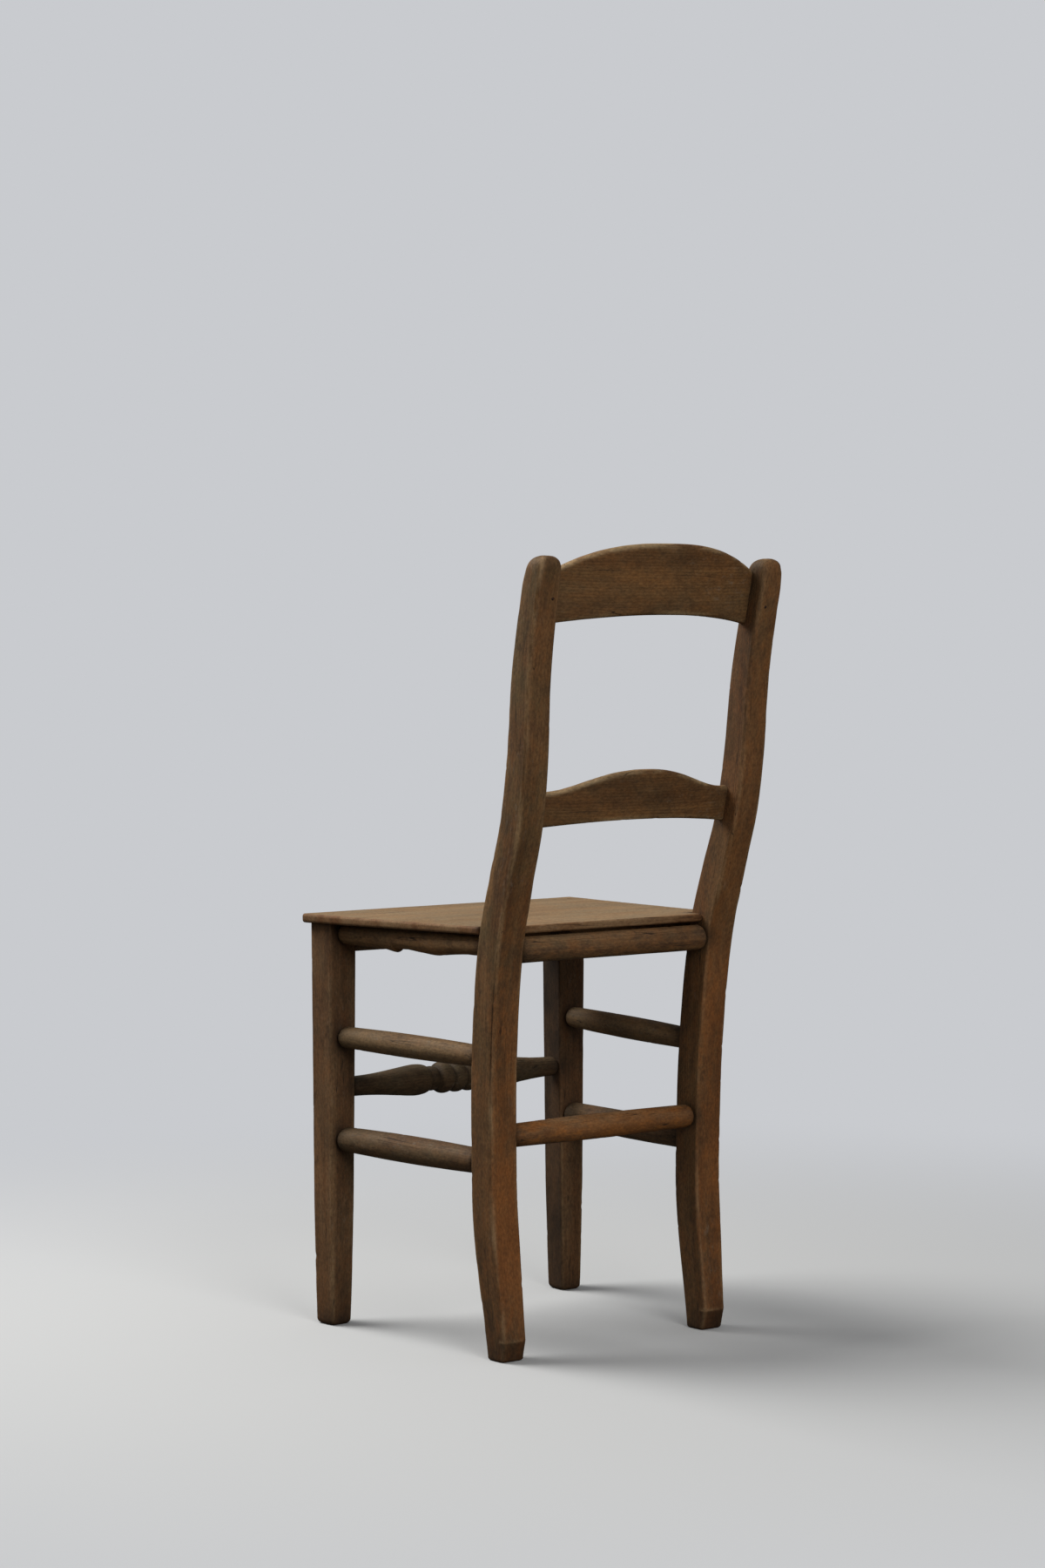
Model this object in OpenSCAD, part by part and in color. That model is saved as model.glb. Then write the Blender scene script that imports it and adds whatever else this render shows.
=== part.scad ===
// Farmhouse side chair in bare weathered beech.
// The chair faces -Y and stands on Z = 0. Its left side, as one sits in it, is +X.

/* [Overall] */
// Height of the two rear posts
post_h = 870; // [720:5:1050]
// Height of the seat's top at its front edge
seat_h = 468; // [390:2:565]
// Distance from the front leg axes to the rear post axes, at the seat
seat_depth = 285; // [230:1:345]
// Distance between the two front leg axes
front_span = 337; // [285:1:405]
// Distance between the two rear post axes, at the seat rails
rear_span = 302; // [245:1:340]

/* [Rear posts] */
// Thickness of a post where it is fullest, from the stretchers to the seat
post_size = 36.5; // [32:0.5:44]
// Thickness of a post at its rounded tip
post_tip = 30; // [26:0.5:36]
// Width of a post's foot, across the chair
post_foot_w = 29.5; // [24:0.5:36]
// Depth of a post's foot, from front to back
post_foot_d = 34; // [26:0.5:38]
// Lean of each post outwards, in degrees
post_splay = 1; // [0:0.1:2]
// How far the top of a post stands behind its place at the seat
back_rake = 86; // [60:1:110]
// How far the post comes forward between floor and seat
knee_forward = 16.5; // [8:0.5:24]
// How far the foot stands behind the most forward place of the post
foot_kick = 19; // [8:0.5:28]
// Height of the rounded tip
tip_dome = 15; // [8:0.5:20]
// Height of the bevel at the back of the heel
heel_bevel_h = 23; // [10:1:32]
// Depth of the bevel at the back of the heel
heel_bevel_d = 7; // [2:0.5:10]

/* [Front legs] */
// Width of a front leg at its top
leg_w = 39; // [33:0.5:44]
// Depth of a front leg at its top
leg_d = 35.5; // [32:0.5:42]
// Width of a front leg's foot
leg_foot_w = 28; // [20:0.5:33]
// Depth of a front leg's foot
leg_foot_d = 30.5; // [20:0.5:33]

/* [Seat board] */
// Thickness of the seat board
board_t = 9; // [6:0.5:14]
// Rise of the seat board from its front edge to its rear edge
board_rise = 4; // [0:0.5:10]
// Overhang of the board past the outer faces of the front legs
board_side = 10.5; // [4:0.5:16]
// Overhang of the board past the front faces of the front legs
board_front = 6; // [3:0.5:14]
// Distance from the post axes to the board's rear edge
board_tongue = 7; // [0:0.5:12]
// Radius of the board's front corners
board_corner = 13; // [6:1:30]

/* [Seat rails] */
// Diameter of the side seat rails at mid length
side_rail_d = 25; // [22:0.5:30]
// Diameter of the front and rear seat rails at mid length
cross_rail_d = 27; // [23:0.5:31]
// Depth of the rear rail's axis below the seat board
rear_rail_drop = 17.5; // [16:0.5:24]
// Depth of the front rail's axis below the seat board
front_rail_drop = 21; // [17:0.5:25]

/* [Stretchers] */
// Height of the upper side stretchers
side_upper_z = 328; // [300:1:370]
// Height of the lower side stretchers
side_lower_z = 213; // [180:1:222]
// Height of the turned front stretcher
front_stretcher_z = 270.5; // [258:0.5:290]
// Height of the rear stretcher
rear_stretcher_z = 242; // [240:1:300]
// Diameter of the upper side stretchers at mid length
side_upper_d = 25.5; // [22:0.5:32]
// Diameter of the lower side stretchers at mid length
side_lower_d = 31; // [24:0.5:34]
// Diameter of the rear stretcher at mid length
rear_stretcher_d = 28; // [23:0.5:32]
// Diameter of the three beads on the front stretcher
bead_d = 37; // [30:0.5:42]
// Width of each of those beads
bead_w = 18.5; // [14:0.5:24]
// Diameter of the front stretcher at its ends
turned_tip_d = 23; // [19:0.5:26]

/* [Back slats] */
// Thickness of the crest rail and the middle rail
slat_t = 10; // [9:0.5:12]
// How far the rear faces of the slats lie in front of the posts' rear faces
slat_inset = 18; // [16:0.5:20]
// How far a slat bows backwards at its middle
slat_bow = 17; // [6:0.5:20]
// Distance from the posts' top down to the lower corners of the crest rail
crest_low = 72; // [60:1:90]
// Height of the crest rail where it meets the posts
crest_end_h = 56.5; // [44:0.5:66]
// Rise of the crest rail's top from its ends to its middle
crest_crown = 34; // [12:0.5:38]
// Rise of the crest rail's lower edge at its middle
crest_arch = 12.5; // [0:0.5:16]
// Slope of the crest rail, whose right end sits higher, in degrees
crest_slope = 0.6; // [0:0.1:1.2]
// Distance from the seat's top up to the lower corners of the middle rail
mid_low = 109.5; // [90:0.5:130]
// Height of the middle rail where it meets the posts
mid_end_h = 40; // [28:1:50]
// Rise of the middle rail's top from its ends to its middle
mid_crown = 26; // [8:1:30]
// Rise of the middle rail's lower edge at its middle
mid_arch = 10.5; // [0:0.5:13]

/* [Joints] */
// Diameter of the round tenons
tenon_d = 12; // [9:0.5:13]
// Depth of the side rods' round tenons in legs and posts
side_tenon = 14; // [10:0.5:14]
// Depth of the front and rear rods' round tenons in legs and posts
cross_tenon = 22; // [16:0.5:24]
// Offset of the seat rails from the leg and post axes, clear of the side tenons
cross_offset = 5; // [4.5:0.5:6]
// Offset of the front stretcher behind the front leg axes
front_stretcher_set = 5; // [0:0.5:6]
// Thickness of the slats' flat tenons
slat_tenon_t = 7; // [5:0.5:8]
// Depth of the slats' flat tenons
slat_tenon = 20; // [14:1:22]
// Clearance around every tenon, pin and nail
fit = 0.1; // [0.05:0.05:0.2]
// Width of the joint line between neighbouring pieces
seam = 0.3; // [0.2:0.1:0.5]

/* [Fixings] */
// Diameter of the nails that pin the crest rail in its posts
pin_d = 3; // [2:0.5:4]
// Diameter of the seat nails
nail_d = 2.4; // [2:0.2:3]
// Diameter of the seat nails' heads
nail_head_d = 6; // [5:0.5:8]
// Length of the seat nails
nail_len = 28; // [20:1:34]
// Place of the rear seat nails along the side rails, as a share of the seat's depth
nail_share = 0.72; // [0.5:0.02:0.8]

/* [Hidden] */
$fn = 48;

wood = [0.50, 0.38, 0.27];
wood_light = [0.62, 0.51, 0.39];
wood_dark = [0.40, 0.30, 0.21];
iron = [0.22, 0.17, 0.14];

arris = 3;
toe_round = 5;
end_clear = 1;
rod_end_share = 0.9;
dome_len = 7;
nail_head_t = 1;
crest_pin_up = 0.38;
over = 60;

// The board's underside is the plane that the rails and the front legs are made to.
// Its height is given at a distance behind the board's front edge.
depth_front = seat_depth + leg_d / 2 + board_front;
board_len = depth_front + board_tongue;
board_tilt = atan(board_rise / board_len);
function under_board(d) = seat_h - board_t / cos(board_tilt) + d * tan(board_tilt);

rear_rail_z = under_board(depth_front) - rear_rail_drop;
front_rail_z = under_board(depth_front - seat_depth) - front_rail_drop;
side_rail_drop = side_rail_d / 2 + seam;
back_h = post_h - rear_rail_z;
crest_z = post_h - crest_low;
mid_z = seat_h + mid_low;

// Side curve of a rear post, as heights and set-backs from its place at the seat rails
post_curve = [
    [0, foot_kick - knee_forward],
    [0.33 * rear_rail_z, -0.91 * knee_forward],
    [0.52 * rear_rail_z, -knee_forward],
    [0.75 * rear_rail_z, -0.78 * knee_forward],
    [rear_rail_z, 0],
    [rear_rail_z + 0.18 * back_h, 0.24 * back_rake],
    [rear_rail_z + 0.32 * back_h, 0.46 * back_rake],
    [rear_rail_z + 0.48 * back_h, 0.60 * back_rake],
    [rear_rail_z + 0.72 * back_h, 0.72 * back_rake],
    [post_h, back_rake]
];

// Slope of a curve of points at its point i
function slope_at(c, i) =
    let (a = max(i - 1, 0), b = min(i + 1, len(c) - 1))
    (c[b].y - c[a].y) / (c[b].x - c[a].x);

// Smooth curve through points, each piece a cubic between two of them
function smooth_curve(c, x, i = 0) =
    i < len(c) - 2 && x > c[i + 1].x ? smooth_curve(c, x, i + 1) :
    let (w = c[i + 1].x - c[i].x, t = (x - c[i].x) / w)
    c[i].y * (1 + 2 * t) * (1 - t) * (1 - t)
        + slope_at(c, i) * w * t * (1 - t) * (1 - t)
        + c[i + 1].y * t * t * (3 - 2 * t)
        + slope_at(c, i + 1) * w * t * t * (t - 1);

function ease(t) = t <= 0 ? 0 : t >= 1 ? 1 : t * t * (3 - 2 * t);
function mix(a, b, t) = a + (b - a) * t;

function post_x(z) = rear_span / 2 + tan(post_splay) * (z - rear_rail_z);
function post_set(z) = smooth_curve(post_curve, z);
function post_lean(z) = (post_set(z + 2) - post_set(z - 2)) / 4;

// Width and depth of a post: slimmer at the foot, and tapering above the seat
full_low = 0.32 * rear_rail_z;
full_high = rear_rail_z + 0.1 * back_h;
function post_upper(z) = mix(post_size, post_tip, max(0, (z - full_high) / (post_h - full_high)));
function post_w(z) = z < full_high ? mix(post_foot_w, post_size, ease(z / full_low)) : post_upper(z);
function post_d(z) = z < full_high ? mix(post_foot_d, post_size, ease(z / full_low)) : post_upper(z);

// Lean of a slat whose corners on the posts are at heights z0 and z1
function slat_lean(z0, z1) = atan((post_set(z1) - post_set(z0)) / (z1 - z0));
function slat_set(z) = post_set(z) + post_d(z) / 2 - slat_inset;

// The whole depth is centred on the origin, from the board's front edge back to the
// post tips or the middle of the crest rail, whichever stands further back
crest_lean = slat_lean(crest_z, crest_z + crest_end_h);
crest_back = slat_set(crest_z) + slat_bow * cos(crest_lean)
    + (crest_end_h + crest_crown) * sin(crest_lean);
tip_back = back_rake + (post_tip - tip_dome / 2) / 2;
post_y0 = (depth_front - max(tip_back, crest_back)) / 2;
leg_y = post_y0 - seat_depth;
leg_x = front_span / 2;
board_y = post_y0 - depth_front;
function post_y(z) = post_y0 + post_set(z);

// Angle of the side rails to the chair's centre line, which the front legs share
side_angle = atan((leg_x - rear_span / 2) / seat_depth);

// Points of a rectangle with round corners of radius r, between two x and two y values
corner_steps = 3;
function ring(x0, x1, y0, y1, r, z) = [
    for (q = [0:3], s = [0:corner_steps - 1])
        let (
            a = 90 * q + 90 * s / (corner_steps - 1),
            cx = q == 0 || q == 3 ? x1 - r : x0 + r,
            cy = q < 2 ? y1 - r : y0 + r
        )
        [cx + r * cos(a), cy + r * sin(a), z]
];

// Solid through a stack of rings that all have the same number of points
module skin(rings) {
    n = len(rings[0]);
    m = len(rings);
    points = [for (level = rings, p = level) p];
    walls = [
        for (i = [0:m - 2], j = [0:n - 1], half = [0, 1])
            let (a = i * n + j, b = i * n + (j + 1) % n)
            half == 0 ? [a, a + n, b] : [b, a + n, b + n]
    ];
    bottom = [for (j = [0:n - 1]) j];
    top = [for (j = [n - 1:-1:0]) (m - 1) * n + j];
    polyhedron(points, concat([bottom], walls, [top]));
}

// Rear post, built on the left side of the chair

dome_steps = 5;
post_steps = 26;
post_levels = concat(
    [0, 3, heel_bevel_h * 0.6],
    [for (i = [0:post_steps]) mix(heel_bevel_h, post_h - tip_dome, i / post_steps)],
    [for (i = [1:dome_steps]) post_h - tip_dome * (1 - sin(86 * i / dome_steps) / sin(86))]
);

// Share of the section that is left in the rounded tip
function tip_share(z) =
    z <= post_h - tip_dome ? 1 :
    sqrt(max(0.06, 1 - pow((z - post_h + tip_dome) / tip_dome, 2)));

function post_ring(z) =
    let (
        toe = z == 0 ? toe_round / 2 : 0,
        heel = heel_bevel_d * max(0, 1 - z / heel_bevel_h),
        w = post_w(z) / 2 * tip_share(z) - toe,
        d = post_d(z) / 2 * tip_share(z)
    )
    ring(post_x(z) - w, post_x(z) + w, post_y(z) - d + toe, post_y(z) + d - heel,
         z > post_h - tip_dome ? w * 0.6 : arris, z);

// The crest mortise sits lower on the left post (side 1) than on the right one (side -1)
module post(side) {
    color(wood) difference() {
        skin([for (z = post_levels) post_ring(z)]);
        round_tenons(fit);
        slat_tenons(fit, side);
        pins(fit);
    }
}

// Front leg, left side of the chair, turned in plan to lie square to the side rails

leg_steps = 6;
leg_top = seat_h + 10;
leg_levels = concat([0, 3, 8], [for (i = [1:leg_steps]) mix(8, leg_top, i / leg_steps)]);
leg_taper_z = 0.28 * seat_h;

inner_taper = 0.62;

// A foot loses most of its width on the inner side and its depth on both sides
function leg_share(z) = z > leg_taper_z ? 0.5 * (leg_top - z) / (leg_top - leg_taper_z)
    : mix(1, 0.5, z / leg_taper_z);
function leg_toe(z) = toe_round * pow(max(0, 1 - z / 8), 2) / 2;
function leg_ring(z) =
    let (
        narrow = (leg_w - leg_foot_w) * leg_share(z),
        shallow = (leg_d - leg_foot_d) / 2 * leg_share(z),
        toe = leg_toe(z)
    )
    ring(-leg_w / 2 + inner_taper * narrow + toe, leg_w / 2 - (1 - inner_taper) * narrow - toe,
         -leg_d / 2 + shallow + toe, leg_d / 2 - shallow - toe, arris, z);

function leg_depth(z) = leg_d - (leg_d - leg_foot_d) * leg_share(z);
function leg_inner(z) = leg_w / 2 - inner_taper * (leg_w - leg_foot_w) * leg_share(z);

module leg_left() {
    color(wood) difference() {
        translate([leg_x, leg_y, 0]) rotate([0, 0, side_angle])
            skin([for (z = leg_levels) leg_ring(z)]);
        board_frame() translate([-over, -over, 0])
            cube([leg_x + 2 * over, board_len, over]);
        round_tenons(fit);
        nails(fit);
    }
}

// Rods: round rails and stretchers, a little fuller at mid length, with domed ends

// Puts its children at p, with their Z axis towards q
module towards(p, q) {
    v = q - p;
    translate(p) rotate([0, acos(v.z / norm(v)), atan2(v.y, v.x)]) children();
}

// Profile of a rod from z = a to z = b: two domed ends and a swelling between them
rod_steps = 10;
function rod_radius(d, t) = d / 2 * mix(rod_end_share, 1, sin(180 * t));
function dome_profile(z, dir, r) = [
    for (i = [0:4])
        let (s = 90 * i / 4)
        [mix(tenon_d / 2, r, sin(s)), z + dir * dome_len * (1 - cos(s))]
];
function reversed(list) = [for (i = [len(list) - 1:-1:0]) list[i]];

module rod(a, b, d, tenon_a, tenon_b) {
    r = rod_radius(d, 0);
    swell = [
        for (i = [1:rod_steps - 1])
            [rod_radius(d, i / rod_steps), mix(a + dome_len, b - dome_len, i / rod_steps)]
    ];
    rotate_extrude() polygon(concat(
        [[0, a - tenon_a], [tenon_d / 2, a - tenon_a]],
        dome_profile(a, 1, r), swell, reversed(dome_profile(b, -1, r)),
        [[tenon_d / 2, b + tenon_b], [0, b + tenon_b]]
    ));
}

// End points of the side rods on the axes of a left leg and a left post
function side_leg_point(z) = [leg_x, leg_y, z];
function side_post_point(z) = [post_x(z), post_y(z), z];
rail_front_z = under_board(depth_front - seat_depth) - side_rail_drop;
rail_rear_z = under_board(depth_front) - side_rail_drop;

// Distances along a side rod from the leg's axis to its two shoulders
function side_start(z) = leg_depth(z) / 2 + seam;
function side_stop(p, q) =
    norm(q - p) - post_d(q.z) / 2 - tenon_d / 2 * abs(post_lean(q.z)) - 2 * seam;

module side_rod(p, q, d) {
    towards(p, q) rod(side_start(p.z), side_stop(p, q), d, side_tenon, side_tenon);
}

// Sockets for one side rod, in the leg and in the post
module side_sockets(p, q, c) {
    towards(p, q) {
        translate([0, 0, side_start(p.z) - side_tenon - end_clear])
            cylinder(d = tenon_d + 2 * c, h = side_tenon + over);
        translate([0, 0, side_stop(p, q) - over])
            cylinder(d = tenon_d + 2 * c, h = over + side_tenon + end_clear);
    }
}

rail_p = side_leg_point(rail_front_z);
rail_q = side_post_point(rail_rear_z);
upper_p = side_leg_point(side_upper_z);
upper_q = side_post_point(side_upper_z);
lower_p = side_leg_point(side_lower_z);
lower_q = side_post_point(side_lower_z);

// Cross rods lie along X. The seat rails stand outside the leg axes, clear of the side tenons.
front_rail_y = leg_y - cross_offset;
front_stretcher_y = leg_y + front_stretcher_set;
function rear_rod_y(z) = post_y(z) + cross_offset;
function front_half(y, z) = leg_x - leg_inner(z) / cos(side_angle)
    - (abs(y - leg_y) + tenon_d / 2) * tan(side_angle) - seam;
front_rail_half = front_half(front_rail_y, front_rail_z);
front_stretcher_half = front_half(front_stretcher_y, front_stretcher_z);
function rear_half(z) = post_x(z) - post_w(z) / 2 - tenon_d / 2 * tan(post_splay) - seam;

module cross_rod(y, z, half, d) {
    translate([0, y, z]) rotate([0, 90, 0]) rod(-half, half, d, cross_tenon, cross_tenon);
}

module cross_socket(y, z, half, c) {
    translate([half - over, y, z]) rotate([0, 90, 0])
        cylinder(d = tenon_d + 2 * c, h = over + cross_tenon + end_clear);
}

// Every round socket on the left side of the chair
module round_tenons(c) {
    side_sockets(rail_p, rail_q, c);
    side_sockets(upper_p, upper_q, c);
    side_sockets(lower_p, lower_q, c);
    cross_socket(front_rail_y, front_rail_z, front_rail_half, c);
    cross_socket(front_stretcher_y, front_stretcher_z, front_stretcher_half, c);
    cross_socket(rear_rod_y(rear_rail_z), rear_rail_z, rear_half(rear_rail_z), c);
    cross_socket(rear_rod_y(rear_stretcher_z), rear_stretcher_z, rear_half(rear_stretcher_z), c);
}

module side_rail_left() {
    color(wood_dark) difference() {
        side_rod(rail_p, rail_q, side_rail_d);
        nails(fit);
    }
}

module side_upper_left() {
    color(wood) side_rod(upper_p, upper_q, side_upper_d);
}

module side_lower_left() {
    color(wood) side_rod(lower_p, lower_q, side_lower_d);
}

module seat_rail_front() {
    color(wood_dark) cross_rod(front_rail_y, front_rail_z, front_rail_half, cross_rail_d);
}

module seat_rail_rear() {
    color(wood) cross_rod(rear_rod_y(rear_rail_z), rear_rail_z, rear_half(rear_rail_z), cross_rail_d);
}

module rear_stretcher() {
    color(wood) cross_rod(rear_rod_y(rear_stretcher_z), rear_stretcher_z,
        rear_half(rear_stretcher_z), rear_stretcher_d);
}

// Turned front stretcher: three beads, a ring on each side and two long tapers

ring_w = 11;
groove_w = 3;
groove_r = bead_d / 2 * 0.7;
ring_r = bead_d / 2 * 0.77;
taper_r = bead_d / 2 * 0.95;
taper_rise = 18;

function bead_arc(z0, w, r_low, r_high) = [
    for (i = [0:6])
        let (s = 180 * i / 6)
        [mix(r_low, r_high, sin(s)), z0 + w / 2 * (1 - cos(s))]
];

// Half of the outline, from the middle of the chair to one end
function turned_half(half, tip_r) =
    let (
        z1 = 1.5 * bead_w,
        z2 = z1 + groove_w,
        z3 = z2 + ring_w,
        z4 = z3 + taper_rise,
        end = half - dome_len
    )
    concat(
        [for (p = bead_arc(-bead_w / 2, bead_w, groove_r, bead_d / 2)) if (p.y > 0.01) p],
        bead_arc(bead_w / 2, bead_w, groove_r, bead_d / 2),
        bead_arc(z2, ring_w, groove_r, ring_r),
        [for (i = [0:4]) [mix(groove_r, taper_r, ease(i / 4)), mix(z3 + 0.5, z4, i / 4)]],
        [for (i = [1:6]) [mix(taper_r, tip_r, sin(90 * i / 6)), mix(z4, end, i / 6)]],
        reversed(dome_profile(half, -1, tip_r)),
        [[tenon_d / 2, half + cross_tenon], [0, half + cross_tenon]]
    );

module front_stretcher() {
    outline = concat([[0, 0], [bead_d / 2, 0]],
        turned_half(front_stretcher_half, turned_tip_d / 2));
    color(wood) translate([0, front_stretcher_y, front_stretcher_z]) rotate([0, 90, 0]) {
        rotate_extrude() polygon(outline);
        mirror([0, 0, 1]) rotate_extrude() polygon(outline);
    }
}

// Seat board: wider in front, notched round the posts, its sides running to their outer faces

// Puts its children on the board's underside, at the middle of its front edge
module board_frame() {
    translate([0, board_y, under_board(0)]) rotate([board_tilt, 0, 0]) children();
}

board_half_front = leg_x + leg_w / 2 + board_side;
board_post_z = under_board(depth_front);
board_half_rear = post_x(board_post_z) + post_size / 2;
notch_x = post_x(board_post_z) - post_size / 2 - 2 * seam;
notch_y = post_y(board_post_z) - post_size / 2 - post_lean(board_post_z) * arris
    - 2 * seam - board_y;
corner_angle = 90 - atan((board_half_front - board_half_rear) / notch_y);

// Round front corner, from the front edge to the sloping side
function board_corner_points() = [
    for (i = [0:6])
        let (a = -90 + i / 6 * (180 - corner_angle))
        [board_half_front - board_corner + board_corner * cos(a), board_corner + board_corner * sin(a)]
];
board_right = concat(
    board_corner_points(),
    [[board_half_rear, notch_y], [notch_x, notch_y], [notch_x, board_len]]
);

module seat_board() {
    color(wood_light) difference() {
        board_frame() linear_extrude(board_t)
            polygon(concat(board_right, [for (p = reversed(board_right)) [-p.x, p.y]]));
        nails(fit);
        mirror([1, 0, 0]) nails(fit);
    }
}

// Slats: bent boards with flat tenons, leaning with the posts

slat_steps = 12;
crown_power = 2.3;
ogee_power = 1.2;

// Puts its children at the lower edge of a slat's rear face, with Z up along the slat
module slat_frame(z0, z1) {
    translate([0, post_y0 + slat_set(z0), z0]) rotate([-slat_lean(z0, z1), 0, 0]) children();
}

// Half the clear distance between the posts at a height up the slat
function slat_half(z0, h) = post_x(z0 + h) - post_w(z0 + h) / 2 - seam;

// Share of the middle rail's rise at a place between its middle and one end
function ogee_rise(t) = 0.5 + 0.5 * cos(180 * pow(abs(t), ogee_power));

// A slat's outline in its own plane, cut from a board that is bent to a round bow
module slat(z0, end_h, crown, arch, slope, ogee) {
    half0 = slat_half(z0, 0);
    half1 = slat_half(z0, end_h);
    bow_r = (half1 * half1 + slat_bow * slat_bow) / (2 * slat_bow);
    lower = [
        for (i = [0:slat_steps])
            let (t = 1 - 2 * i / slat_steps)
            [half0 * t, arch * (1 - t * t) - half0 * t * tan(slope)]
    ];
    upper = [
        for (i = [0:2 * slat_steps])
            let (t = i / slat_steps - 1, x = half1 * t)
            [x, end_h - x * tan(slope) + crown * (ogee ? ogee_rise(t) : 1 - pow(abs(t), crown_power))]
    ];
    intersection() {
        rotate([90, 0, 0]) translate([0, 0, -over])
            linear_extrude(2 * over) polygon(concat(lower, upper));
        translate([0, slat_bow - bow_r, -over]) difference() {
            cylinder(r = bow_r, h = end_h + 3 * over, $fn = 180);
            translate([0, 0, -1]) cylinder(r = bow_r - slat_t, h = end_h + 4 * over, $fn = 180);
        }
    }
}

// Flat tenon on the left end of a slat, raised by the slat's slope at that end
slat_shoulder = 6;
tenon_root = 10;
module slat_tenon_left(z0, end_h, lift, c) {
    half = slat_half(z0, end_h / 2);
    translate([half - tenon_root, -(slat_t + slat_tenon_t) / 2 - c, slat_shoulder + lift - c])
        cube([tenon_root + slat_tenon + (c > 0 ? end_clear : 0), slat_tenon_t + 2 * c,
              end_h - 2 * slat_shoulder + 2 * c]);
}

// The crest rail slopes a little, down to the left (side 1) and up to the right (side -1)
function crest_lift(side) = -side * slat_half(crest_z, 0) * tan(crest_slope);

module crest_frame() {
    slat_frame(crest_z, crest_z + crest_end_h) children();
}

module crest_rail() {
    color(wood) difference() {
        crest_frame() {
            slat(crest_z, crest_end_h, crest_crown, crest_arch, crest_slope, false);
            slat_tenon_left(crest_z, crest_end_h, crest_lift(1), 0);
            mirror([1, 0, 0]) slat_tenon_left(crest_z, crest_end_h, crest_lift(-1), 0);
        }
        pins(fit);
        mirror([1, 0, 0]) pins(fit);
    }
}

module mid_rail() {
    color(wood) slat_frame(mid_z, mid_z + mid_end_h) {
        slat(mid_z, mid_end_h, mid_crown, mid_arch, 0, true);
        slat_tenon_left(mid_z, mid_end_h, 0, 0);
        mirror([1, 0, 0]) slat_tenon_left(mid_z, mid_end_h, 0, 0);
    }
}

// Both slat mortises of a post
module slat_tenons(c, side) {
    crest_frame() slat_tenon_left(crest_z, crest_end_h, crest_lift(side), c);
    slat_frame(mid_z, mid_z + mid_end_h) slat_tenon_left(mid_z, mid_end_h, 0, c);
}

// Fixings

// Nail through a post's rear face and the crest rail's tenon, left side
crest_pin_z = crest_z + crest_pin_up * crest_end_h;
module pins(c) {
    x = slat_half(crest_z, crest_end_h / 2) + slat_tenon / 2;
    y = post_y(crest_pin_z) + post_d(crest_pin_z) / 2;
    translate([x, y + 0.4 + (c > 0 ? over : 0), crest_pin_z]) rotate([90, 0, 0])
        cylinder(d = pin_d + 2 * c, h = slat_inset + slat_t - 2 + (c > 0 ? over + end_clear : 0));
}

// One seat nail, square to the board, with its head sunk flush
module nail(c) {
    translate([0, 0, board_t - nail_head_t - c])
        cylinder(d = nail_head_d + 2 * c, h = nail_head_t + (c > 0 ? over : 0));
    translate([0, 0, board_t - nail_len - (c > 0 ? end_clear : 0)])
        cylinder(d = nail_d + 2 * c, h = nail_len);
}

// The two seat nails of the left side: one into the front leg, one into the side rail
module nails(c) {
    x_rail = mix(leg_x, rear_span / 2, nail_share);
    y_rail = mix(leg_y, post_y0, nail_share);
    board_frame() {
        translate([leg_x + 4, leg_y - board_y + 5, 0]) nail(c);
        translate([x_rail, y_rail - board_y, 0]) nail(c);
    }
}

module crest_pins() {
    color(iron) {
        pins(0);
        mirror([1, 0, 0]) pins(0);
    }
}

module seat_nails() {
    color(iron) {
        nails(0);
        mirror([1, 0, 0]) nails(0);
    }
}

post(1);  // rear_post_left
mirror([1, 0, 0]) post(-1);  // rear_post_right
leg_left();  // front_leg_left
mirror([1, 0, 0]) leg_left();  // front_leg_right
crest_rail();
mid_rail();
seat_board();
seat_rail_front();
seat_rail_rear();
side_rail_left();  // seat_rail_left
mirror([1, 0, 0]) side_rail_left();  // seat_rail_right
side_upper_left();  // side_stretcher_upper_left
mirror([1, 0, 0]) side_upper_left();  // side_stretcher_upper_right
side_lower_left();  // side_stretcher_lower_left
mirror([1, 0, 0]) side_lower_left();  // side_stretcher_lower_right
front_stretcher();
rear_stretcher();
crest_pins();
seat_nails();
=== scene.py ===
from math import cos, pi, radians, sin, tan

import bpy
import numpy as np
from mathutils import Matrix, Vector, noise


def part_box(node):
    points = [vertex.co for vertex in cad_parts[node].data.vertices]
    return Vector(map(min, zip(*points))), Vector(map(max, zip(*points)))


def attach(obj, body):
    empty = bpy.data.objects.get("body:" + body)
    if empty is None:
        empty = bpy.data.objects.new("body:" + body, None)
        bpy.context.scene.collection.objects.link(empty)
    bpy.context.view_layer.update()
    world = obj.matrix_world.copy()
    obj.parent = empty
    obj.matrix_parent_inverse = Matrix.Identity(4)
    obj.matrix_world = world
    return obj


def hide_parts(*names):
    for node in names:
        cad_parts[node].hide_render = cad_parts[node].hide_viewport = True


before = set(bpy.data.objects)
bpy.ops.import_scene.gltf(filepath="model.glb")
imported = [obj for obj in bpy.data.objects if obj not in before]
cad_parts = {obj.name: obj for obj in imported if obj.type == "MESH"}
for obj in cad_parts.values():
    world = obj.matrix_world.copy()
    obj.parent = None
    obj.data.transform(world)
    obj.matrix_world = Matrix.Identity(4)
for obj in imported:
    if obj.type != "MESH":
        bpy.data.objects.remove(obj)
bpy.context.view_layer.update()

# ---- Rear posts ----
# Two sticks of beech, each sawn to a long S and shaved square, with a domed tip and a bevelled
# heel. Hands, floors and a stripping bath have worn their arrises round, and the arrises are pale
# with wear and painted highlight.

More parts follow.
